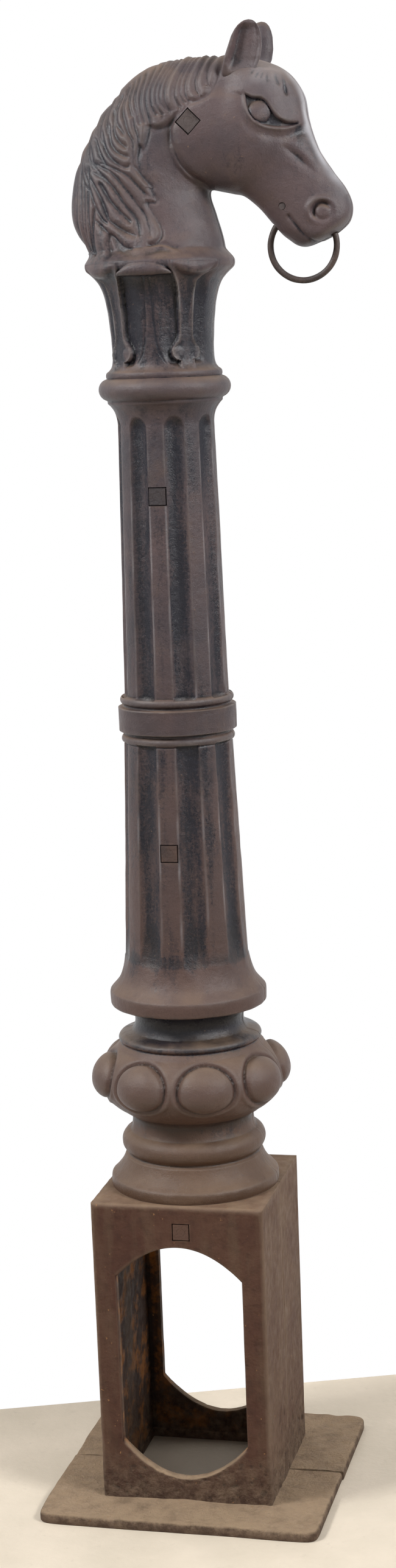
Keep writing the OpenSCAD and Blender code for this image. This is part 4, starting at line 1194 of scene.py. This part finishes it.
def head_paint_and_shade(points):
    """Old paint is left in patches on the neck, under the ear and between eye and nose, and in the seam.
    Round the eyeball, inside the lids, the mark is painted shade.
    """
    left = np.interp(points[:, 0], [-90, -20, 30, 60, 110, 200], [0.3, 0.2, 0.0, -0.15, -0.15, -0.15])
    p = points[:, [0, 2]] - [0, COLLAR_Z]
    patch = stroke(p, [(160, 140), (163, 126), (169, 112), (178, 98)], 6, 5, (0.2, 0.3))
    seam = swell(points[:, 1], 0, 1.5) * soft_step(0, 6, p[:, 1])
    ball = np.linalg.norm((p - EYE_BALL) / EYE_ROUND, axis=-1)
    # Painted shade round the eyeball, inside the lids.
    eye = np.zeros(len(p))
    near = ball < 2
    eye[near] = 0.75 * soft_step(0.2, 1, ball[near]) * soft_step(0, 1.5, inside_of(p[near], EYE_OUTLINE))
    ticks = sum(stroke(p, line, 1.2, 0.6, (0.3, 0.3)) for line in FORELOCK)
    mouth = stroke(p, MOUTH, 1.2, 0.8, (0.1, 0.1))
    return left + 0.4 * patch + 1.2 * seam + 0.4 * mouth + eye + 0.6 * ticks


NOSE_RIDGE = [(136, 194), (148, 186.5), (157.5, 174), (162.5, 159), (165, 143), (169, 126), (176, 109.5),
              (186, 90.5), (196.5, 73.5), (205, 58.5)]


def nose_rub_and_highlight(points):
    """The ridge of the nose is rubbed bare and gets a painted highlight, most where it is narrow, and the
    brow gets a little painted light.
    """
    p = points[:, [0, 2]] - [0, COLLAR_Z]
    off_seam = soft_step(1.2, 2.8, np.abs(points[:, 1]))
    # Along the nose's ridge: rubbed bare iron and a painted highlight.
    worn = stroke(p, NOSE_RIDGE, 5, 6, (0.25, 0.25)) * soft_step(22, 11, np.abs(points[:, 1])) * off_seam
    worn = worn * np.clip(0.44 + 0.3 * lumps(points, 14, 60), 0, 1)
    # Painted light on the brow.
    brow = bump(p, (128, 188), (26, 17)) * off_seam
    return np.clip(worn + 0.16 * brow * (1 + 0.6 * lumps(points, 10, 63)), 0, 1)


RING_SLOTS = (144, 14)  # where the ring passes through chin and lip, in degrees round it
CHEEK_NUT_TURN = 45

for half, side in HALVES.items():
    piece = add_piece(f"{half}_head_casting", *head_half(side))
    slots = [ring_slot(angle) for angle in RING_SLOTS]
    carve(piece, [nut_pocket("cheek_nut", side, CHEEK_NUT_TURN), rivet_pocket(side)] + slots)
    join(piece, add_piece("ear", *ear(side)))
    mark_weathering_and_light(piece, passes=20, reach=1.3, paint_and_shade=head_paint_and_shade, rub_and_highlight=nose_rub_and_highlight, meets=(COLLAR_Z,))
    piece.data.materials.append(coat)
    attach(piece, "post")
    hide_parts(f"{half}_head_half")


# Four square nuts on the right side draw the halves together on bolts with square heads on the left, and a
# rivet closes the muzzle. They are wrought iron, rusted brown, and lie flush in the castings.

WROUGHT_DARK, WROUGHT_BROWN = (0.034, 0.023, 0.022), (0.064, 0.038, 0.030)
WROUGHT_GRAIN = (0.021, 0.017, 0.016)
# Heights between which a tone comes in, how much of it, and the tone: upper shaft, cheek and plinth.
NUT_TONES = ((0.8, 1.0, 0.75, (0.024, 0.022, 0.026)), (1.3, 1.5, 0.8, (0.060, 0.045, 0.042)),
             (0.5, 0.4, 0.9, (0.072, 0.037, 0.025)))


def fastener_iron():
    """Rusted wrought iron with dark grain: brown low down, black with old paint on the upper shaft, paler on
    the cheek."""
    rust = Finish("fastener_iron", gloss=0.3)
    colour = rust.stain(WROUGHT_DARK, rust.noise(60), 0.35, 0.65, 1, WROUGHT_BROWN)
    colour = rust.stain(colour, rust.noise(260, 5, 0.7), 0.55, 0.75, 0.6, WROUGHT_GRAIN)
    for tone in NUT_TONES:
        colour = rust.stain(colour, rust.height(), *tone)
    rough = rust.spread(rust.noise(120), 0.3, 0.7, 0.5, 0.8)
    return rust.close(colour, rough, (rust.noise(380, 5, 0.6), 0.0008))


MERGE_REACH = 0.00001  # in metres, as is the width of the worn edge
FASTENER_EDGE = 0.0002
NUTS_AND_BOLTS = [f"{place}_{kind}" for place in ("cheek", "upper_shaft", "lower_shaft", "plinth")
                  for kind in ("nut", "bolt")]

rusted = fastener_iron()
for node in NUTS_AND_BOLTS + ["mouth_rivet"]:
    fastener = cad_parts[node]
    fastener.data.materials.clear()
    fastener.data.materials.append(rusted)
for node in NUTS_AND_BOLTS:
    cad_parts[node].modifiers.new("merge", "WELD").merge_threshold = MERGE_REACH
    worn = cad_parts[node].modifiers.new("worn edges", "BEVEL")
    worn.width = FASTENER_EDGE
    worn.segments = 2
    worn.limit_method = "ANGLE"


# The hitching ring hangs loose in the muzzle, through a slot in the chin and one behind the lip. It is a bar
# of wrought iron bent round and welded, dark and smooth from use.

RING_DARK, RING_BROWN = (0.030, 0.023, 0.022), (0.055, 0.039, 0.034)
RING_GRID = (180, 24)  # points round the ring and round its bar
FORGED = 0.12  # how uneven the bar is


def ring_iron():
    """Dark smooth wrought iron, a little browner in patches."""
    dark = Finish("ring_iron", gloss=0.25)
    colour = dark.stain(RING_DARK, dark.noise(40), 0.35, 0.65, 1, RING_BROWN)
    rough = dark.spread(dark.noise(150), 0.3, 0.7, 0.38, 0.6)
    return dark.close(colour, rough, (dark.noise(500, 4, 0.6), 0.0004))


def ring_points():
    """A round bar carried round a circle in the parting plane, a little uneven from the forge."""
    middle, bar, reach = ring_sizes()
    round_ring, round_bar = np.meshgrid(*(np.linspace(0, 2 * np.pi, n, endpoint=False) for n in RING_GRID),
                                        indexing="ij")
    out = np.stack([np.cos(round_ring), 0 * round_ring, np.sin(round_ring)], -1)
    across = np.stack([0 * round_ring, np.ones_like(round_ring), 0 * round_ring], -1)
    line = middle + reach * out
    way = out * np.cos(round_bar)[..., None] + across * np.sin(round_bar)[..., None]
    return line + way * (bar - FORGED + FORGED * lumps(line + 3 * way, 9, 50))[..., None]


ring = add_piece("tie_ring", ring_points(), quads(*RING_GRID, ring=True, tube=True))
mark_weathering_and_light(ring, passes=4, reach=1)
ring.data.materials.append(ring_iron())
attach(ring, "ring")
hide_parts("hitching_ring")


# The post stands on a plain pale floor before a white wall, in soft light from the front, from above and from
# both sides. The camera looks a little down from the horse's right, as the photograph was taken.

STONE_DARK, STONE_LIGHT = (0.49, 0.43, 0.345), (0.555, 0.485, 0.395)
STONE_SPECK = (0.36, 0.31, 0.25)
WALL_WHITE = (0.85, 0.85, 0.85, 1)


def floor_stone():
    """Pale worn stone, mottled and faintly specked."""
    stone = Finish("pale_floor", gloss=0.4)
    colour = stone.stain(STONE_DARK, stone.noise(9, 6, 0.6), 0.35, 0.65, 1, STONE_LIGHT)
    colour = stone.stain(colour, stone.noise(70, 5, 0.7), 0.6, 0.75, 0.4, STONE_SPECK)
    return stone.close(colour, 0.6, (stone.noise(120), 0.0006))


def seen_directly(tree):
    """1 for rays from the camera, in reflections and through glass, and 0 for light that is scattered."""
    paths = tree.nodes.new("ShaderNodeLightPath")
    seen = paths.outputs["Is Camera Ray"]
    for name in ("Is Glossy Ray", "Is Transmission Ray"):
        either = tree.nodes.new("ShaderNodeMath")
        either.operation = "MAXIMUM"
        tree.links.new(seen, either.inputs[0])
        tree.links.new(paths.outputs[name], either.inputs[1])
        seen = either.outputs[0]
    return seen


def white_wall():
    """White paint that shows as plain white to the camera and in reflections, and can be looked through from
    behind."""
    material = bpy.data.materials.new("white_wall")
    material.use_nodes = True
    nodes, links = material.node_tree.nodes, material.node_tree.links
    paint_and_shade = nodes["Principled BSDF"]
    paint_and_shade.inputs["Base Color"].default_value = WALL_WHITE
    paint_and_shade.inputs["Roughness"].default_value = 0.8

    def either(choice, first, second):
        """One shader or the other, by a choice of 0 or 1."""
        mix = nodes.new("ShaderNodeMixShader")
        for socket, output in zip(mix.inputs, (choice, first, second)):
            links.new(output, socket)
        return mix.outputs["Shader"]

    shining = nodes.new("ShaderNodeEmission").outputs["Emission"]
    clear = nodes.new("ShaderNodeBsdfTransparent").outputs["BSDF"]
    bright = either(seen_directly(material.node_tree), paint_and_shade.outputs["BSDF"], shining)
    one_way = either(nodes.new("ShaderNodeNewGeometry").outputs["Backfacing"], bright, clear)
    links.new(one_way, nodes["Material Output"].inputs["Surface"])
    return material


def sheet(name, corners, material):
    """A flat four-sided piece of the stage."""
    mesh = bpy.data.meshes.new(name)
    mesh.from_pydata(corners, [], [[0, 1, 2, 3]])
    mesh.materials.append(material)
    piece = bpy.data.objects.new(name, mesh)
    bpy.context.scene.collection.objects.link(piece)


WALL_FOOT = np.array([(-0.303, 0.141), (0.176, 0.326)])  # two points of the line where wall and floor meet
WALL_LENGTH = 6
WALL_HEIGHT = 5
FLOOR_HALF = 8
along_wall = np.diff(WALL_FOOT, axis=0)[0] / np.linalg.norm(np.diff(WALL_FOOT, axis=0))
ends = [WALL_FOOT[0] + along_wall * step for step in (-WALL_LENGTH, WALL_LENGTH)]
floor_signs = ((-1, -1, 0), (1, -1, 0), (1, 1, 0), (-1, 1, 0))
sheet("floor", [tuple(FLOOR_HALF * np.array(signs)) for signs in floor_signs], floor_stone())
sheet("wall", [(*ends[0], 0), (*ends[1], 0), (*ends[1], WALL_HEIGHT), (*ends[0], WALL_HEIGHT)], white_wall())

SKY_LEVELS = (0.0, 0.95, 0.02, 0.45)  # the sky's strength goes from the third to the fourth, horizon to top

world = bpy.data.worlds.new("studio")
bpy.context.scene.world = world
world.use_nodes = True
sky = world.node_tree
way = sky.nodes.new("ShaderNodeTexCoord").outputs["Generated"]
split = sky.nodes.new("ShaderNodeSeparateXYZ")
sky.links.new(way, split.inputs[0])
overhead = sky.nodes.new("ShaderNodeMapRange")
for socket, number in zip(overhead.inputs[1:], SKY_LEVELS):
    socket.default_value = number
sky.links.new(split.outputs["Z"], overhead.inputs["Value"])
seen = sky.nodes.new("ShaderNodeMath")
seen.operation = "MAXIMUM"
sky.links.new(seen_directly(sky), seen.inputs[0])
sky.links.new(overhead.outputs["Result"], seen.inputs[1])
sky.links.new(seen.outputs[0], sky.nodes["Background"].inputs["Strength"])
sky.nodes["Background"].inputs["Color"].default_value = (1, 1, 1, 1)


def lamp(name, place, target, size, power):
    """A square soft lamp at a place, turned to a target, in metres and watts."""
    light = bpy.data.lights.new(name, "AREA")
    light.size = size
    light.energy = power
    holder = bpy.data.objects.new(name, light)
    holder.location = place
    holder.rotation_mode = "QUATERNION"
    holder.rotation_quaternion = (Vector(target) - Vector(place)).to_track_quat("-Z", "Y")
    bpy.context.scene.collection.objects.link(holder)


POST_MIDDLE = (0, 0, 0.9)
lamp("left_light", (-2.3, -1.7, 3.2), POST_MIDDLE, 0.9, 148)
lamp("right_light", (2.3, -1.0, 2.4), POST_MIDDLE, 0.8, 90)

FRAME_SIZE = (650, 2576)  # the photograph, in pixels
CAMERA_PLACE = (0.695, -2.819, 1.330)
CAMERA_YAW, CAMERA_PITCH, CAMERA_ROLL = np.radians((14.5, 11.58, -2.39))
FOCAL_PIXELS = 4281
AXIS_PIXEL = (254, 1430)  # where the camera's axis meets the photograph

camera = bpy.data.objects.new("camera", bpy.data.cameras.new("camera"))
bpy.context.scene.collection.objects.link(camera)
back = np.array([np.sin(CAMERA_YAW) * np.cos(CAMERA_PITCH), -np.cos(CAMERA_YAW) * np.cos(CAMERA_PITCH),
                 np.sin(CAMERA_PITCH)])
level = np.array([np.cos(CAMERA_YAW), np.sin(CAMERA_YAW), 0])
upright = np.cross(back, level)
c, s = np.cos(CAMERA_ROLL), np.sin(CAMERA_ROLL)
turned = np.eye(4)
turned[:3] = np.stack([c * level + s * upright, c * upright - s * level, back, CAMERA_PLACE], -1)
camera.matrix_world = Matrix(turned)
camera.data.sensor_width = 36
camera.data.lens = FOCAL_PIXELS / max(FRAME_SIZE) * camera.data.sensor_width
camera.data.shift_x = (FRAME_SIZE[0] / 2 - AXIS_PIXEL[0]) / max(FRAME_SIZE)
camera.data.shift_y = (AXIS_PIXEL[1] - FRAME_SIZE[1] / 2) / max(FRAME_SIZE)
bpy.context.scene.camera = camera
bpy.context.scene.view_settings.view_transform = "Standard"
